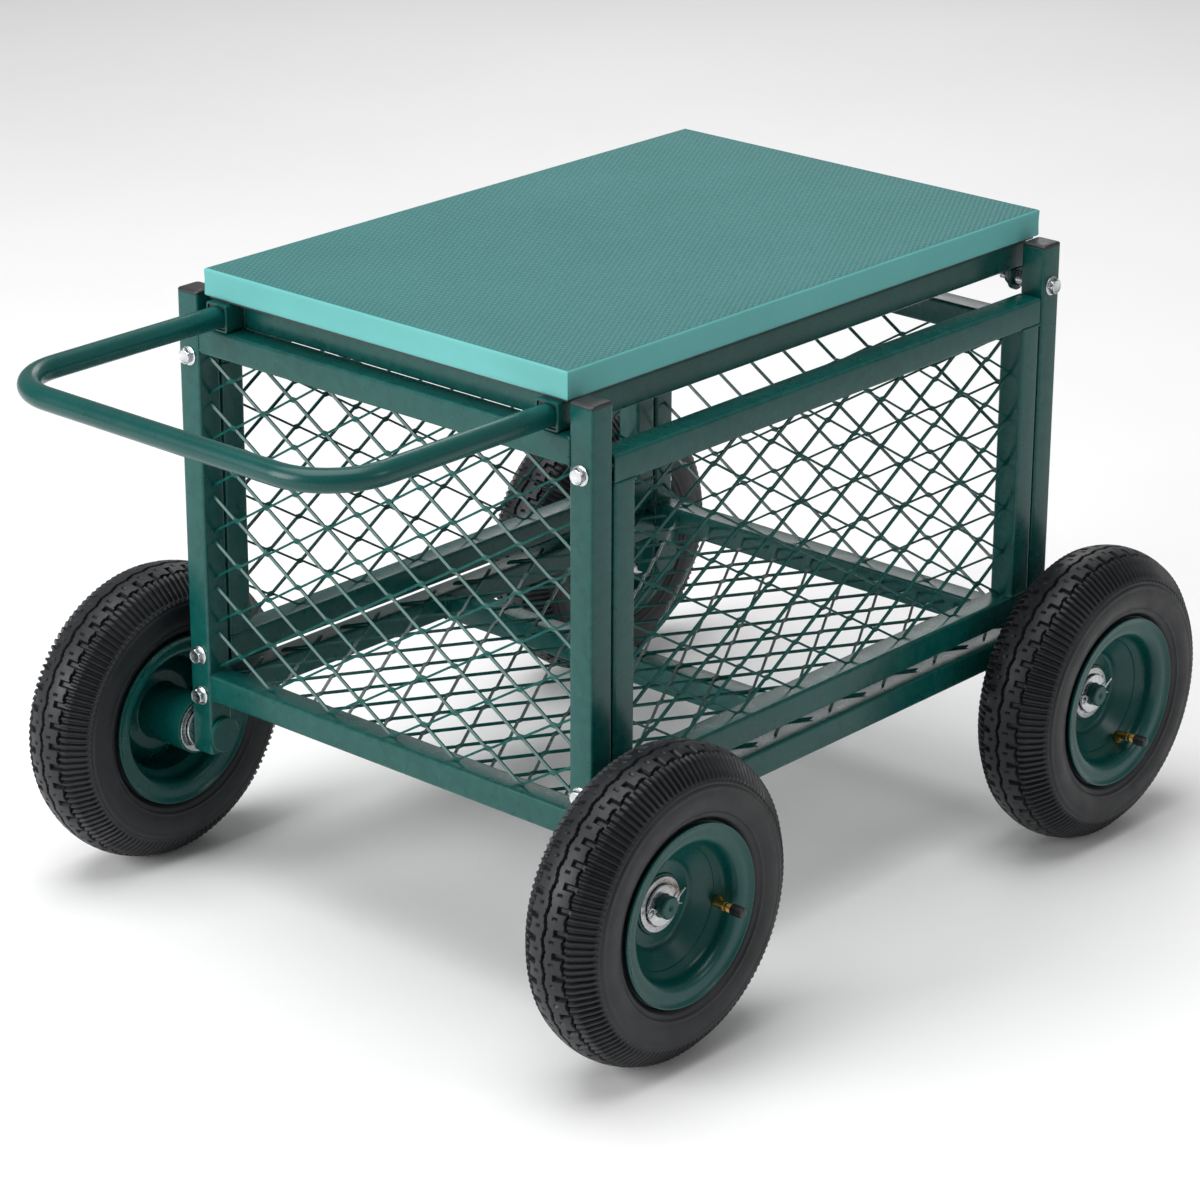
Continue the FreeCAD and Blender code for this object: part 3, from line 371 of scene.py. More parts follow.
def add_tube(pile, low, high, axis):
    """Hollow square tube with rounded corners between two box corners, along one axis."""
    a, b = PLANES[axis]
    middle = [(low[i] + high[i]) / 2 for i in range(3)]

    def loop(half, corner, along):
        square = [(-half, -half), (half, -half), (half, half), (-half, half)]
        ring = []
        for u, v in softened(square, corner, 4):
            point = [0.0, 0.0, 0.0]
            point[axis] = along
            point[a] = middle[a] + u
            point[b] = middle[b] + v
            ring.append(point)
        return ring

    half = (high[a] - low[a]) / 2
    inner = half - WALL
    start = low[axis]
    end = high[axis]
    pile.rings([
        loop(inner, CORNER - WALL / 2, start), loop(half - EDGE, CORNER, start),
        loop(half, CORNER, start + EDGE), loop(half, CORNER, end - EDGE),
        loop(half - EDGE, CORNER, end), loop(inner, CORNER - WALL / 2, end),
    ], closed=True)


def tube_nodes():
    """Every square tube of the frame and the seat gets rounded corners and its real wall."""
    single = {}
    for end, hand in CORNERS:
        single["post_%s_%s" % (end, hand)] = (2, "chassis")
    for name in ("front_top_rail", "front_bottom_rail", "rear_top_rail", "rear_bottom_rail",
                 "floor_cross_member"):
        single[name] = (1, "chassis")
    for hand in ("left", "right"):
        single["floor_rail_" + hand] = (0, "chassis")
        single["seat_rail_" + hand] = (0, "seat")
    for place in ("front", "middle", "rear"):
        single["seat_%s_crossrail" % place] = (1, "seat")
    for node, (axis, body) in single.items():
        pile = Pile()
        low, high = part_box(node)
        add_tube(pile, low, high, axis)
        finish_piece(pile.build(node + "_steel", PAINT), body, "frame_paint", node)
    for hand in ("left", "right"):
        node = "side_frame_" + hand
        low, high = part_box(node)
        pile = Pile()
        add_tube(pile, (low.x, low.y, high.z - TUBE), high, 0)
        add_tube(pile, low, (high.x, high.y, low.z + TUBE), 0)
        for x in (low.x, high.x - TUBE):
            add_tube(pile, (x, low.y, low.z + TUBE), (x + TUBE, high.y, high.z - TUBE), 2)
        finish_piece(pile.build(node + "_steel", PAINT), "chassis", "frame_paint", node)


# ---------------------------------------------------------------- weld beads
def bead_rectangle(pile, centre, axis, half, seed):
    """Rippled weld bead round a square tube where it meets another one."""
    a, b = PLANES[axis]
    rng = random.Random(seed)
    per_side = 22
    path = []
    for side in range(4):
        for k in range(per_side):
            t = -1 + 2 * k / per_side
            u, v = [(t, -1), (1, t), (-t, 1), (-1, -t)][side]
            point = Vector(centre)
            point[a] += u * half
            point[b] += v * half
            path.append(point)
    sizes = [(0.95 + 0.3 * math.sin(i * 2.1) + rng.uniform(-0.12, 0.12)) * MM for i in range(len(path))]
    pile.rings(sweep(path, lambda i: sizes[i], 8, closed=True), closed=True)


def welds():
    chassis = Pile()
    seed = 0
    rails = ["front_top_rail", "front_bottom_rail", "rear_top_rail", "rear_bottom_rail",
             "floor_cross_member"]
    half = TUBE / 2 - 0.3 * MM
    for node in rails:
        low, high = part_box(node)
        centre = (low + high) / 2
        for y in (low.y, high.y):
            seed += 1
            bead_rectangle(chassis, (centre.x, y, centre.z), 1, half, seed)
    for hand in ("left", "right"):
        low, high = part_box("side_frame_" + hand)
        for x in (low.x + TUBE / 2, high.x - TUBE / 2):
            for z in (low.z + TUBE, high.z - TUBE):
                seed += 1
                bead_rectangle(chassis, (x, (low.y + high.y) / 2, z), 2, half, seed)
    finish_piece(chassis.build("weld_beads_frame", PAINT, 60), "chassis", "frame_paint")
    seat = Pile()
    for place in ("front", "middle", "rear"):
        low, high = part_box("seat_%s_crossrail" % place)
        centre = (low + high) / 2
        for y in (low.y, high.y):
            seed += 1
            bead_rectangle(seat, (centre.x, y, centre.z), 1, half, seed)
    finish_piece(seat.build("weld_beads_seat", PAINT, 60), "seat", "frame_paint")


# ---------------------------------------------------------------- expanded mesh
MESH_LONG = 60.3 * MM
MESH_SHORT = 34.4 * MM
BOND = 7.0 * MM
STRAND = 1.75 * MM
SHEET = 1.5 * MM


def strand_line(j, across):
    """Centre line of strand number j: runs along u, touching the next strand at every bond."""
    half = MESH_LONG / 2
    quarter = MESH_SHORT / 2
    middle = (j + 0.5) * quarter
    swing = quarter / 2 - STRAND / 2
    count = int(across / half) + 2
    points = []
    for k in range(-count, count + 1):
        sign = 1 if (k + j) % 2 == 0 else -1
        for du, dv in ((-BOND / 2, 0.93), (-BOND / 3, 1.0), (BOND / 3, 1.0), (BOND / 2, 0.93)):
            points.append((k * half + du, middle + sign * swing * dv))
    return points


def expanded_mesh(node, body, u_axis, v_axis):
    """Sheared and drawn steel mesh: leaning strands, doubled at the bonds, trimmed to the CAD box."""
    low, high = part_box(node)
    w_axis = 3 - u_axis - v_axis
    centre = (low + high) / 2
    across = high[u_axis] - low[u_axis]
    tall = high[v_axis] - low[v_axis]
    work = bmesh.new()
    lines = int(tall / MESH_SHORT) + 2
    for j in range(-2 * lines, 2 * lines):
        if abs((j + 0.5) * MESH_SHORT / 2) > tall / 2 + MESH_SHORT / 2:
            continue
        rings = []
        points = strand_line(j, across / 2)
        for i, (u, v) in enumerate(points):
            before = points[max(i - 1, 0)]
            after = points[min(i + 1, len(points) - 1)]
            slope = math.atan2(after[1] - before[1], after[0] - before[0])
            wide = STRAND / 2 * (1 + 0.25 * abs(math.sin(slope)))
            lean = 0.22 * MM + 0.35 * MM * abs(math.sin(slope))
            ring = []
            for dv, dw in ((wide, SHEET / 2), (wide, -SHEET / 2), (-wide, -SHEET / 2), (-wide, SHEET / 2)):
                place = Vector((0, 0, 0))
                place[u_axis] = centre[u_axis] + u
                place[v_axis] = centre[v_axis] + v + dv
                place[w_axis] = centre[w_axis] + dw * 0.72 + lean * (1 if dv > 0 else -1)
                ring.append(work.verts.new(place))
            rings.append(ring)
        for first, second in zip(rings, rings[1:]):
            for k in range(4):
                n = (k + 1) % 4
                work.faces.new((first[k], first[n], second[n], second[k]))
        work.faces.new(rings[0])
        work.faces.new(list(reversed(rings[-1])))
    for axis, place, side in ((u_axis, low, -1), (u_axis, high, 1), (v_axis, low, -1), (v_axis, high, 1)):
        normal = Vector((0, 0, 0))
        normal[axis] = side
        bmesh.ops.bisect_plane(work, geom=work.verts[:] + work.edges[:] + work.faces[:], plane_co=place,
                               plane_no=normal, clear_outer=True)
        open_edges = [e for e in work.edges if e.is_boundary]
        bmesh.ops.holes_fill(work, edges=open_edges, sides=0)
    mesh = bpy.data.meshes.new(node + "_strands")
    work.to_mesh(mesh)
    work.free()
    finish_piece(finish_mesh(node + "_strands", mesh, PAINT, 40), body, "frame_paint", node)


# ---------------------------------------------------------------- bolts
def circle_ring(z, radius, count=48):
    return [(radius * math.cos(2 * math.pi * k / count), radius * math.sin(2 * math.pi * k / count), z)
            for k in range(count)]


def hexagon_ring(z, corner_radius, limit, count=48):
    """Ring of a hexagon whose corners are turned down to a limit radius (the chamfer)."""
    ring = []
    for k in range(count):
        angle = 2 * math.pi * k / count
        within = (angle % (math.pi / 3)) - math.pi / 6
        r = min(corner_radius * math.cos(math.pi / 6) / math.cos(within), limit)
        ring.append((r * math.cos(angle), r * math.sin(angle), z))
    return ring


HEX = 5.8 * MM
FLANGE_R = 7.0 * MM
FLANGE = 1.2 * MM
HEAD = 4.0 * MM
SHANK = 3.0 * MM
NUT = 5.0 * MM
FRAME_BOLT = 34.0 * MM
FRAME_NUT_PLACE = 25.5 * MM
HINGE_BOLT = 44.5 * MM


def add_bolt(pile, place, axis, shank, turn):
    """Flanged hexagon bolt: the head stands out along axis from place, the shank runs the other way."""
    rings = [circle_ring(-shank, SHANK * 0.8), circle_ring(-shank + 0.6 * MM, SHANK)]
    rings += [circle_ring(0, SHANK), circle_ring(0, FLANGE_R - 0.2 * MM), circle_ring(0.2 * MM, FLANGE_R),
              circle_ring(0.7 * MM, FLANGE_R), circle_ring(FLANGE, FLANGE_R - 0.9 * MM)]
    rings += [hexagon_ring(FLANGE, HEX, HEX), hexagon_ring(FLANGE + HEAD - 1.0 * MM, HEX, HEX),
              hexagon_ring(FLANGE + HEAD - 0.15 * MM, HEX, HEX - 0.75 * MM),
              circle_ring(FLANGE + HEAD, HEX - 1.2 * MM),
              circle_ring(FLANGE + HEAD - 0.25 * MM, HEX - 2.0 * MM)]
    matrix = Matrix.Translation(place) @ turn_to(axis) @ Matrix.Rotation(turn, 4, "Z")
    pile.rings([[matrix @ Vector(p) for p in ring] for ring in rings])


def add_nut(pile, place, axis, height, turn):
    rings = [circle_ring(0, SHANK + 0.08 * MM), hexagon_ring(0, HEX, HEX - 0.6 * MM),
             hexagon_ring(0.5 * MM, HEX, HEX), hexagon_ring(height - 0.5 * MM, HEX, HEX),
             hexagon_ring(height, HEX, HEX - 0.6 * MM), circle_ring(height, SHANK + 0.08 * MM)]
    matrix = Matrix.Translation(place) @ turn_to(axis) @ Matrix.Rotation(turn, 4, "Z")
    pile.rings([[matrix @ Vector(p) for p in ring] for ring in rings], closed=True)


def fasteners():
    rng = random.Random(7)
    side_low, side_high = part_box("side_frame_left")
    floor_low, floor_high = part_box("floor_rail_left")
    levels = (side_high.z - TUBE / 2, side_low.z + TUBE / 2, (floor_low.z + floor_high.z) / 2)
    pile = Pile()
    for end, sx in (("front", -1), ("rear", 1)):
        for hand, sy in (("left", -1), ("right", 1)):
            post_low, post_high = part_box("post_%s_%s" % (end, hand))
            face = post_low.x if sx < 0 else post_high.x
            y = (post_low.y + post_high.y) / 2
            for level in levels:
                place = Vector((face, y, level))
                add_bolt(pile, place, (sx, 0, 0), FRAME_BOLT, rng.uniform(0, 1.0))
                inside = place + Vector((-sx * FRAME_NUT_PLACE, 0, 0))
                add_nut(pile, inside, (-sx, 0, 0), NUT, rng.uniform(0, 1.0))
    finish_piece(pile.build("frame_bolts_hex", ZINC), "chassis", "zinc", "frame_bolts")
    low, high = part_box("hinge_bolts")
    middle = (low + high) / 2
    post_low, post_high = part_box("post_rear_left")
    pile = Pile()
    nuts = Pile()
    nut_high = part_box("hinge_nuts")[1]
    for sy in (-1, 1):
        place = Vector((middle.x, sy * abs(post_low.y), middle.z))
        add_bolt(pile, place, (0, sy, 0), HINGE_BOLT, rng.uniform(0, 1.0))
        place = Vector((middle.x, sy * (nut_high.y - NUT), middle.z))
        add_nut(nuts, place, (0, sy, 0), NUT, rng.uniform(0, 1.0))
    finish_piece(pile.build("hinge_bolts_hex", ZINC), "chassis", "zinc", "hinge_bolts")
    finish_piece(nuts.build("hinge_nuts_hex", ZINC), "chassis", "zinc", "hinge_nuts")


def post_caps():
    """Moulded caps with a low crown and rounded rims, plugged into the posts."""
    pile = Pile()
    low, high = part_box("post_caps")
    for end, hand in CORNERS:
        post_low, post_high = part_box("post_%s_%s" % (end, hand))
        x = (post_low.x + post_high.x) / 2
        y = (post_low.y + post_high.y) / 2
        half = TUBE / 2
        plug = half - WALL - 0.2 * MM
        top = post_high.z
        crown = high.z
        rings = []
        for size, z, corner in ((plug - 0.8 * MM, low.z, 1.0), (plug, low.z + 1.0 * MM, 1.0),
                                (plug, top, 1.0), (half - 0.1 * MM, top, 2.4), (half, top + 0.2 * MM, 2.4),
                                (half, crown - 1.3 * MM, 2.4), (half - 0.5 * MM, crown - 0.55 * MM, 2.6),
                                (half - 1.6 * MM, crown - 0.15 * MM, 2.8), (half - 4.5 * MM, crown, 2.8)):
            square = [(-size, -size), (size, -size), (size, size), (-size, size)]
            rings.append([(x + u, y + v, z) for u, v in softened(square, corner * MM, 4)])
        pile.rings(rings)
    finish_piece(pile.build("post_caps_moulded", PLASTIC, 40), "chassis", "black_plastic", "post_caps")


# ---------------------------------------------------------------- wheels
# Lengths here are in millimetres, radii from the wheel's axis and places from its middle plane.
TYRE_R = 111.0
HALF_TYRE = 33.0
CROWN_Y = 19.8
CROWN_ARC = 40.0
BLOCKS = 44
STEPS = 12
BEARING_FACES = ((-46.7, -35.7), (3.3, -7.7))
VALVE_Y = 15.0
VALVE_R = 38.5
VALVE_DEGREES = {"front_left": 169.0, "rear_left": 117.0, "front_right": 40.0, "rear_right": 150.0}
OUTER_WASHER = 52.6
PIN_PLACE = 56.4
PIN_WIRE = 0.72


def tyre_section():
    """Outer skin points (along, radius, part name) from bead to bead, in millimetres."""
    bead_y, bead_r = 26.2, 51.1
    low, high = 64.3, 99.0
    middle_r = (low + high) / 2
    half_chord = (high - low) / 2
    sagitta = HALF_TYRE - bead_y
    radius = (half_chord ** 2 + sagitta ** 2) / (2 * sagitta)
    middle_y = HALF_TYRE - radius
    side = [(22.0, bead_r, "bead"), (24.6, 52.6, "bead"), (bead_y, 56.5, "bead"), (bead_y, 62.5, "bead")]
    start = math.atan2(low - middle_r, bead_y - middle_y)
    end = math.atan2(high - middle_r, bead_y - middle_y)
    for k in range(31):
        a = start + (end - start) * k / 30
        side.append((middle_y + radius * math.cos(a), middle_r + radius * math.sin(a), "wall"))
    side += [(25.0, 100.2, "wall"), (23.6, 101.6, "wall"), (22.2, 103.0, "wall"), (20.9, 104.4, "wall")]
    crown = []
    count = 46
    for k in range(count + 1):
        y = CROWN_Y - 2 * CROWN_Y * k / count
        crown.append((y, TYRE_R - CROWN_ARC + math.sqrt(CROWN_ARC ** 2 - y * y), "crown"))
    far = [(-y, r, part) for y, r, part in reversed(side)]
    return side + crown + far


def tread_depth(y, r, part, step):
    """How far the rubber stands below the outer envelope, in millimetres."""
    phase = (step % STEPS) / STEPS
    across = abs(y)
    if part == "bead":
        return 0.0
    if part == "wall":
        if r > 91.5:
            fade = min(1.0, (r - 91.5) / 3.5)
            return 0.0 if step % 4 < 2 else 2.3 * fade
        for ring in (88.5, 71.5, 68.0):
            if abs(r - ring) < 0.8:
                return 0.0
        return 0.6 if r > 66.5 else 0.2
    zigzag = 1.0 * (abs(phase * 2 - 1) * 2 - 1)
    if abs(y - zigzag) < 0.95:
        return 3.2
    row = phase if y > 0 else (phase + 0.5) % 1.0
    edge = 13.4 + 1.5 * abs(row * 2 - 1)
    if across > edge + 1.0:
        return 0.0 if step % 4 < 2 else 2.6
    if across > edge:
        return 2.8
    if row < 2.01 / STEPS and across > 7.6:
        return 3.0
    if 4.6 < across < 8.4 and 5.9 / STEPS < row < 6.99 / STEPS:
        return 1.5
    return 0.0


def build_tyre():
    section = tyre_section()
    inner = [(20.2, 51.1), (17.2, 63.6), (21.5, 68.0), (26.0, 75.0), (28.0, 81.6), (26.0, 88.5), (21.5, 95.5),
             (17.2, 99.7), (11.9, 104.0)]
    inside = [(-y, r) for y, r in inner] + [(y, r) for y, r in reversed(inner)]
    total = BLOCKS * STEPS
    outward = []
    for k, (y, r, part) in enumerate(section):
        ahead = section[min(k + 1, len(section) - 1)]
        behind = section[max(k - 1, 0)]
        normal = Vector((ahead[1] - behind[1], behind[0] - ahead[0])).normalized()
        if normal.y < 0 and part == "crown" or part != "crown" and normal.x * y < 0:
            normal = -normal
        outward.append(normal)
    rings = []
    for step in range(total):
        angle = 2 * math.pi * step / total
        ring = []
        for (y, r, part), normal in zip(section, outward):
            painted_shade_top = tread_depth(y, r, part, step)
            ring.append((y - normal.x * painted_shade_top, r - normal.y * painted_shade_top))
        ring += inside
        rings.append([(r * MM * math.sin(angle), y * MM, r * MM * math.cos(angle)) for y, r in ring])
    pile = Pile().rings(rings, closed=True)
    return pile.build("tyre_master", TYRE, 35)


def build_rim():
    """Pressed rim with rolled lips, drop centre, cone-shaped web and hub barrel."""
    outer = [(30.5, 64.0), (28.5, 64.0), (26.5, 61.0), (26.5, 50.8), (16.2, 50.3), (11.6, 45.0)]
    inner = [(12.51, 43.0), (17.11, 48.3), (28.5, 48.8), (28.5, 60.0), (30.5, 63.0)]
    outer_radius = [0.9, 0.9, 2.4, 5.5, 3.0, 2.0]
    inner_radius = [0.5, 3.2, 8.0, 3.0, 0.9]
    web_out = [(0.5, 21.0), (0.5, 30.5), (3.0, 32.0), (11.9, 43.0)]
    web_in = [(8.68, 43.0), (-0.21, 32.0), (-2.0, 30.5), (-2.0, 21.0)]
    hub = [(-45.5, 21.0), (-45.5, 17.55), (-35.7, 17.55), (-35.7, 15.0), (-7.7, 15.0), (-7.7, 17.55),
           (2.1, 17.55), (2.1, 21.0)]
    web_out_radius = [0.8, 2.0, 2.0, 0.4]
    web_in_radius = [0.4, 2.0, 2.0, 1.5]
    hub_radius = [0.6, 0.4, 0.2, 0.2, 0.2, 0.2, 0.4, 0.6]
    corners = outer + [(-y, r) for y, r in reversed(outer)] + [(-y, r) for y, r in reversed(inner)]
    radii = outer_radius + outer_radius[::-1] + inner_radius[::-1]
    corners += web_in + hub + web_out + inner
    radii += web_in_radius + hub_radius + web_out_radius + inner_radius
    profile = [(y * MM, r * MM) for y, r in softened(corners, radii, 6, share=0.7)]
    pile = Pile().rings(lathe(profile, 144), closed=True)
    return pile.build("rim_master", PAINT, 35)


def build_bearings():
    """Two sealed flanged ball bearings: flange outward, recessed shield, inner race."""
    pile = Pile()
    for face, back in BEARING_FACES:
        way = 1 if back > face else -1
        section = [(0.0, 8.06), (0.0, 10.6), (0.7, 10.9), (0.7, 15.0), (0.0, 15.3), (0.0, 19.1), (0.3, 19.4),
                   (1.0, 19.4), (1.2, 19.2), (1.2, 17.5), (10.6, 17.5), (11.0, 17.1), (11.0, 8.06)]
        pile.rings(lathe([((face + way * y) * MM, r * MM) for y, r in section], 96), closed=True)
    return pile.build("bearings_master", BEARING, 30)


def build_inner_tube():
    section = [(19.0, 53.1), (16.7, 64.2), (21.0, 68.6), (25.4, 75.4), (27.3, 81.6), (25.4, 88.0),
               (21.0, 94.9), (16.6, 99.4), (11.2, 103.4)]
    loop = section + [(-y, r) for y, r in reversed(section)]
    profile = [(y * MM, r * MM) for y, r in softened(loop, 2.5, 2)]
    return Pile().rings(lathe(profile, 96), closed=True).build("inner_tube_master", TUBE_RUBBER, 40)


def build_valve():
    """Bent brass valve: stem through the rim, elbow, threaded end; and its knurled cap."""
    brass = Pile()
    bend = 5.0
    path = [(x, VALVE_Y, 0) for x in (52.4, 49.0, 46.0, VALVE_R + bend)]
    for k in range(1, 9):
        a = math.pi / 2 * k / 8
        path.append((VALVE_R + bend - bend * math.sin(a), VALVE_Y + bend * (1 - math.cos(a)), 0))
    path += [(VALVE_R, VALVE_Y + along, 0) for along in (8.0, 12.0, 16.4)]
    brass.rings(sweep([Vector(p) * MM for p in path], 2.9 * MM, 20))
    matrix = Matrix.Translation(Vector((46.6, VALVE_Y, 0)) * MM) @ turn_to((-1, 0, 0))
    grommet = [circle_ring(z * MM, r * MM, 24) for z, r in ((0.0, 3.2), (0.2, 3.5), (1.3, 3.5), (1.6, 3.2))]
    brass.rings([[matrix @ Vector(p) for p in ring] for ring in grommet])
    matrix = Matrix.Translation(Vector((VALVE_R, VALVE_Y, 0)) * MM) @ Matrix.Rotation(-math.pi / 2, 4, "X")
    collar = [circle_ring(z * MM, r * MM, 24)
              for z, r in ((10.2, 3.0), (10.4, 3.2), (12.0, 3.2), (12.2, 3.0))]
    brass.rings([[matrix @ Vector(p) for p in ring] for ring in collar])
    thread = [circle_ring((14.4 + 0.4 * k) * MM, (3.15 if k % 2 else 2.85) * MM, 24) for k in range(10)]
    brass.rings([[matrix @ Vector(p) for p in ring] for ring in thread])
    cap = Pile()
    rings = []
    for z, r in ((18.0, 3.4), (18.3, 3.95), (20.0, 4.0), (26.4, 3.8), (27.5, 3.3), (28.0, 2.2)):
        ring = []
        for k in range(48):
            a = 2 * math.pi * k / 48
            rr = (r - (0.22 if k % 4 >= 2 and 18.2 < z < 27 else 0.0)) * MM
            ring.append(matrix @ Vector((rr * math.cos(a), rr * math.sin(a), z * MM)))
        rings.append(ring)
    cap.rings(rings)
    return brass.build("valve_master", BRASS, 35), cap.build("valve_cap_master", PLASTIC, 35)


def wheels():
    """One master of each wheel piece, copied to the four corners with its valve turned as built."""
    valve, cap = build_valve()
    masters = [("tyre", build_tyre(), "tyre_rubber"), ("rim", build_rim(), "frame_paint"),
               ("bearings", build_bearings(), "bearing_steel"),
               ("inner_tube", build_inner_tube(), "tube_rubber"), ("valve", valve, "valve_brass"),
               ("valve_cap", cap, "black_plastic")]
    joints = {j["child"]: j for j in frame["joints"]}
    for end, hand in CORNERS:
        corner = "%s_%s" % (end, hand)
        body = "wheel_" + corner
        centre = Matrix.Translation(Vector(joints[body]["pos_m"]))
        side = Matrix.Rotation(0.0 if hand == "right" else math.pi, 4, "Z")
        place = centre @ side @ Matrix.Rotation(math.radians(VALVE_DEGREES[corner]), 4, "Y")
        for kind, master, slot in masters:
            mesh = master.data.copy()
            mesh.transform(place)
            name = "%s_%s" % (kind, corner)
            copy = bpy.data.objects.new(name + "_detail", mesh)
            bpy.context.scene.collection.objects.link(copy)
            nodes = (name,) if name in NODES else ()
            finish_piece(copy, body, slot, *nodes)
    for _, master, _ in masters:
        bpy.data.objects.remove(master)


def axles():
    """Painted stub axles with chamfered ends and welded collars, zinc washers and split pins."""
    washers = Pile()
    pins = Pile()
    for end, hand in CORNERS:
        node = "axle_%s_%s" % (end, hand)
        low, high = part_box(node)
        sy = 1 if hand == "right" else -1
        inner = min(abs(low.y), abs(high.y)) / MM
        outer = max(abs(low.y), abs(high.y)) / MM
        section = [(inner, 0.4), (inner, 12.4), (inner + 0.6, 13.0), (inner + 3.2, 13.0), (inner + 4.0, 12.2),
                   (inner + 4.0, 8.0), (outer - 1.0, 8.0), (outer, 7.0), (outer - 0.01, 2.2),
                   (outer - 1.6, 0.4)]
        centre = Vector(((low.x + high.x) / 2, 0, (low.z + high.z) / 2))
        move = Matrix.Translation(centre)
        rings = [[move @ Vector((x, sy * y, z)) for x, y, z in ring]
                 for ring in lathe([(y * MM, r * MM) for y, r in section], 64)]
        pile = Pile().rings(rings, closed=True)
        finish_piece(pile.build(node + "_turned", PAINT), "chassis", "frame_paint", node)
        post = abs(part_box("post_%s_%s" % (end, hand))[0 if sy < 0 else 1].y) / MM
        for start in (post, post + OUTER_WASHER):
            ring = [(start, 8.1), (start, 14.2), (start + 0.3, 14.5), (start + 1.7, 14.5),
                    (start + 2.0, 14.2), (start + 2.0, 8.5), (start + 1.6, 8.1)]
            rings = [[move @ Vector((x, sy * y, z)) for x, y, z in r]
                     for r in lathe([(y * MM, r * MM) for y, r in ring], 64)]
            washers.rings(rings, closed=True)
        pin_y = sy * (post + PIN_PLACE) * MM
        for leg, lean, length in ((-1, 24.0, 5.5), (1, 33.0, 10.0)):
            path = [(-13.9 - 3.1 * math.cos(math.pi * k / 12), leg * 2.9 * math.sin(math.pi * k / 12))
                    for k in range(12)]
            path += [(-10.6, leg * PIN_WIRE), (0.0, leg * PIN_WIRE), (9.6, leg * PIN_WIRE)]
            away = math.radians(lean)
            for k in range(1, 6):
                a = away * k / 5
                path.append((9.6 + 3.0 * math.sin(a), leg * (PIN_WIRE + 3.0 * (1 - math.cos(a)))))
            tip = path[-1]
            path.append((tip[0] + length * math.cos(away), tip[1] + leg * length * math.sin(away)))
            points = [centre + Vector((x * MM, pin_y, z * MM)) for x, z in path]
            pins.rings(sweep(points, PIN_WIRE * MM, 10))
    finish_piece(washers.build("axle_washers_flat", ZINC), "chassis", "zinc", "axle_washers")
    finish_piece(pins.build("split_pins_bent", ZINC, 40), "chassis", "zinc", "split_pins")


# ---------------------------------------------------------------- seat and handle
def seat_pad():
    """Dense foam slab: crisp cut edges, a faint crown and the slight waviness of sheet foam."""
    low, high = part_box("seat_pad")
    centre = (low + high) / 2
    half_x = (high.x - low.x) / 2
    half_y = (high.y - low.y) / 2
    columns, rows = 120, 80
    edge = 1.5 * MM
    crown = 1.3 * MM

    def place(u, v, z_share, inset):
        x = centre.x + u * (half_x - inset)
        y = centre.y + v * (half_y - inset)
        belly = 0.35 * MM * math.sin(math.pi * z_share)
        wave = noise.noise(Vector((x * 14, y * 14, 3.0))) * 0.25 * MM
        if abs(u) >= 1:
            x += math.copysign(belly - 0.35 * MM + wave * 0.6, u)
        if abs(v) >= 1:
            y += math.copysign(belly - 0.35 * MM + wave * 0.6, v)
        dome = (1 - u * u) * (1 - v * v)
        top = high.z - crown + crown * dome ** 0.35 + wave * 0.4 - 0.1 * MM
        z = low.z + (top - low.z) * z_share
        return Vector((x, y, z))

    outline = [(-1 + 2 * i / columns, -1) for i in range(columns)]
    outline += [(1, -1 + 2 * i / rows) for i in range(rows)]
    outline += [(1 - 2 * i / columns, 1) for i in range(columns)]
    outline += [(-1, 1 - 2 * i / rows) for i in range(rows)]
    layers = [(0.0, edge * 0.6), (0.03, edge * 0.2), (0.07, 0.0), (0.2, 0.0), (0.35, 0.0), (0.5, 0.0),
              (0.65, 0.0), (0.8, 0.0), (0.93, 0.0), (0.965, edge * 0.18), (0.99, edge * 0.55), (1.0, edge)]
    work = bmesh.new()
    rings = [[work.verts.new(place(u, v, share, inset)) for u, v in outline] for share, inset in layers]
    count = len(outline)
    for a, b in zip(rings, rings[1:]):
        for i in range(count):
            j = (i + 1) % count
            work.faces.new((a[i], a[j], b[j], b[i]))
    for ring, share, inset in ((rings[0], 0.0, edge * 0.6), (rings[-1], 1.0, edge)):
        grid = {}
        for i, (u, v) in enumerate(outline):
            grid[(round((u + 1) / 2 * columns), round((v + 1) / 2 * rows))] = ring[i]
        for i in range(1, columns):
            for j in range(1, rows):
                grid[(i, j)] = work.verts.new(place(-1 + 2 * i / columns, -1 + 2 * j / rows, share, inset))
        for i in range(columns):
            for j in range(rows):
                corners = [grid[(i, j)], grid[(i + 1, j)], grid[(i + 1, j + 1)], grid[(i, j + 1)]]
                work.faces.new(corners)
    mesh = bpy.data.meshes.new("seat_pad_foam")
    work.to_mesh(mesh)
    work.free()
    pad = finish_mesh("seat_pad_foam", mesh, FOAM, 50)
    finish_piece(pad, "seat", "pad_foam", "seat_pad")


HANDLE_R = 8.0 * MM
HANDLE_BEND = 47.3 * MM
BUSH_SIDE = 16.9 * MM


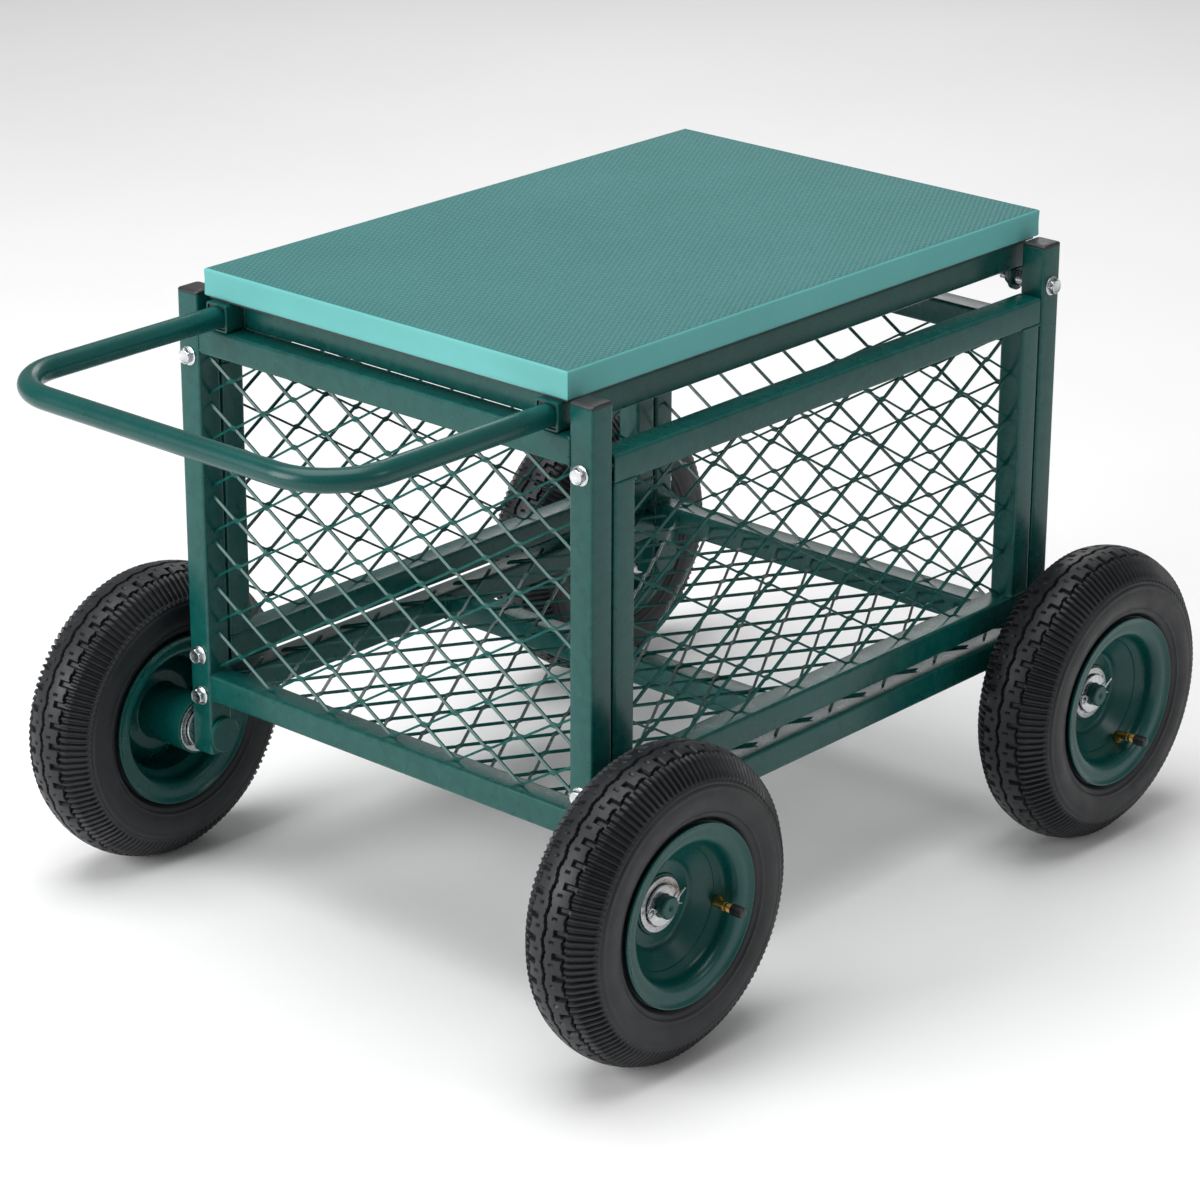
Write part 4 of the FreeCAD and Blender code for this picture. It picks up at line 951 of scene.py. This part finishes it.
def handle():
    """Bent round tube, open at its hidden inner ends."""
    low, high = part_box("handle_tube")
    radius = HANDLE_R
    bend = HANDLE_BEND
    z = (low.z + high.z) / 2
    left = low.y + radius
    right = high.y - radius
    bar = low.x + radius
    path = [(high.x, left)]
    straight = bar + bend
    path += [(high.x + (straight - high.x) * k / 6, left) for k in range(1, 7)]
    for k in range(1, 25):
        a = math.pi / 2 * k / 24
        path.append((straight - bend * math.sin(a), left + bend * (1 - math.cos(a))))
    path += [(bar, left + bend + (right - left - 2 * bend) * k / 8) for k in range(1, 8)]
    for k in range(25):
        a = math.pi / 2 * k / 24
        path.append((straight - bend * math.cos(a), right - bend + bend * math.sin(a)))
    path += [(straight + (high.x - straight) * k / 6, right) for k in range(1, 7)]
    points = [(x, y, z) for x, y in path]
    outer = sweep(points, radius, 40)
    inner = sweep(points, radius - WALL, 40)
    pile = Pile().rings(outer + inner[::-1], closed=True)
    finish_piece(pile.build("handle_tube_bent", PAINT, 50), "handle", "frame_paint", "handle_tube")


def moulded_guides():
    """Guide bushes in the seat rails' mouths, with a rounded lead-in."""
    pile = Pile()
    low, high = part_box("handle_guide_bushes")
    for sy in (-1, 1):
        side = BUSH_SIDE
        y = sy * (high.y - side / 2)
        z = (low.z + high.z) / 2
        rings = []
        for x, half, corner in ((low.x, side / 2 - 0.5 * MM, 1.2), (low.x + 0.5 * MM, side / 2, 1.2),
                                (high.x - 0.4 * MM, side / 2, 1.2), (high.x, side / 2 - 0.4 * MM, 1.2)):
            square = [(-half, -half), (half, -half), (half, half), (-half, half)]
            rings.append([(x, y + u, z + v) for u, v in softened(square, corner * MM, 11)])
        count = len(rings[0])
        for x, r in ((high.x, 8.4), (high.x - 0.5 * MM, 8.05), (low.x + 1.2 * MM, 8.05), (low.x, 9.0)):
            ring = []
            for u, v in softened([(-1, -1), (1, -1), (1, 1), (-1, 1)], 0.14, 11):
                a = math.atan2(v, u)
                ring.append((x, y + r * MM * math.cos(a), z + r * MM * math.sin(a)))
            rings.append(ring[:count])
        pile.rings(rings, closed=True)
    finish_piece(pile.build("handle_guide_bushes_moulded", PLASTIC, 35), "seat", "black_plastic",
                 "handle_guide_bushes")


def keep_cad_nodes():
    """CAD nodes whose shape is right keep it and get the real material."""
    for node, material in (("seat_board", BOARD), ("hinge_ears", PAINT), ("hinge_spacers", ZINC),
                           ("handle_end_glides", PLASTIC)):
        mesh = NODES[node].data
        mesh.materials.clear()
        mesh.materials.append(material)


# ---------------------------------------------------------------- studio
def studio():
    floor = Pile().rings([circle_ring(-0.012, 6.0, 96), circle_ring(0.0, 6.0, 96)])
    ground = floor.build("studio_floor", paper_floor("studio_paper"))
    world = bpy.data.worlds.new("studio_world")
    bpy.context.scene.world = world
    world.use_nodes = True
    world.node_tree.nodes["Background"].inputs["Color"].default_value = (1, 1, 1, 1)
    world.node_tree.nodes["Background"].inputs["Strength"].default_value = 0.3
    target = Vector((0, 0, 0.25))
    for name, place, size, power in (("top_light", (-0.3, 0.2, 3.0), 2.6, 78),
                                     ("left_light", (-2.7, 0.9, 1.3), 1.6, 62),
                                     ("right_light", (0.9, -2.8, 1.5), 0.7, 7),
                                     ("back_light", (2.4, 1.6, 1.8), 1.2, 12)):
        data = bpy.data.lights.new(name, "AREA")
        data.shape = "SQUARE"
        data.size = size
        data.energy = power
        lamp = bpy.data.objects.new(name, data)
        bpy.context.scene.collection.objects.link(lamp)
        lamp.location = place
        lamp.rotation_euler = (target - Vector(place)).to_track_quat("-Z", "Y").to_euler()
    scene = bpy.context.scene
    scene.view_settings.view_transform = "Standard"


def camera():
    right = Vector((0.66759, -0.74452, 0.00297)).normalized()
    back = Vector((-0.69342, -0.62031, 0.36659)).normalized()
    up = back.cross(right).normalized()
    right = up.cross(back)
    data = bpy.data.cameras.new("camera")
    data.sensor_width = 36.0
    data.lens = 120.53
    data.clip_end = 50
    eye = bpy.data.objects.new("camera", data)
    bpy.context.scene.collection.objects.link(eye)
    turn = Matrix((right, up, back)).transposed().to_4x4()
    eye.matrix_world = Matrix.Translation((-1.9922, -1.8021, 1.2632)) @ turn
    bpy.context.scene.camera = eye


tube_nodes()
welds()
expanded_mesh("side_mesh_left", "chassis", 0, 2)
expanded_mesh("side_mesh_right", "chassis", 0, 2)
expanded_mesh("front_mesh", "chassis", 1, 2)
expanded_mesh("rear_mesh", "chassis", 1, 2)
expanded_mesh("floor_mesh", "chassis", 0, 1)
fasteners()
post_caps()
wheels()
axles()
seat_pad()
handle()
moulded_guides()
keep_cad_nodes()
studio()
camera()

bpy.context.view_layer.update()
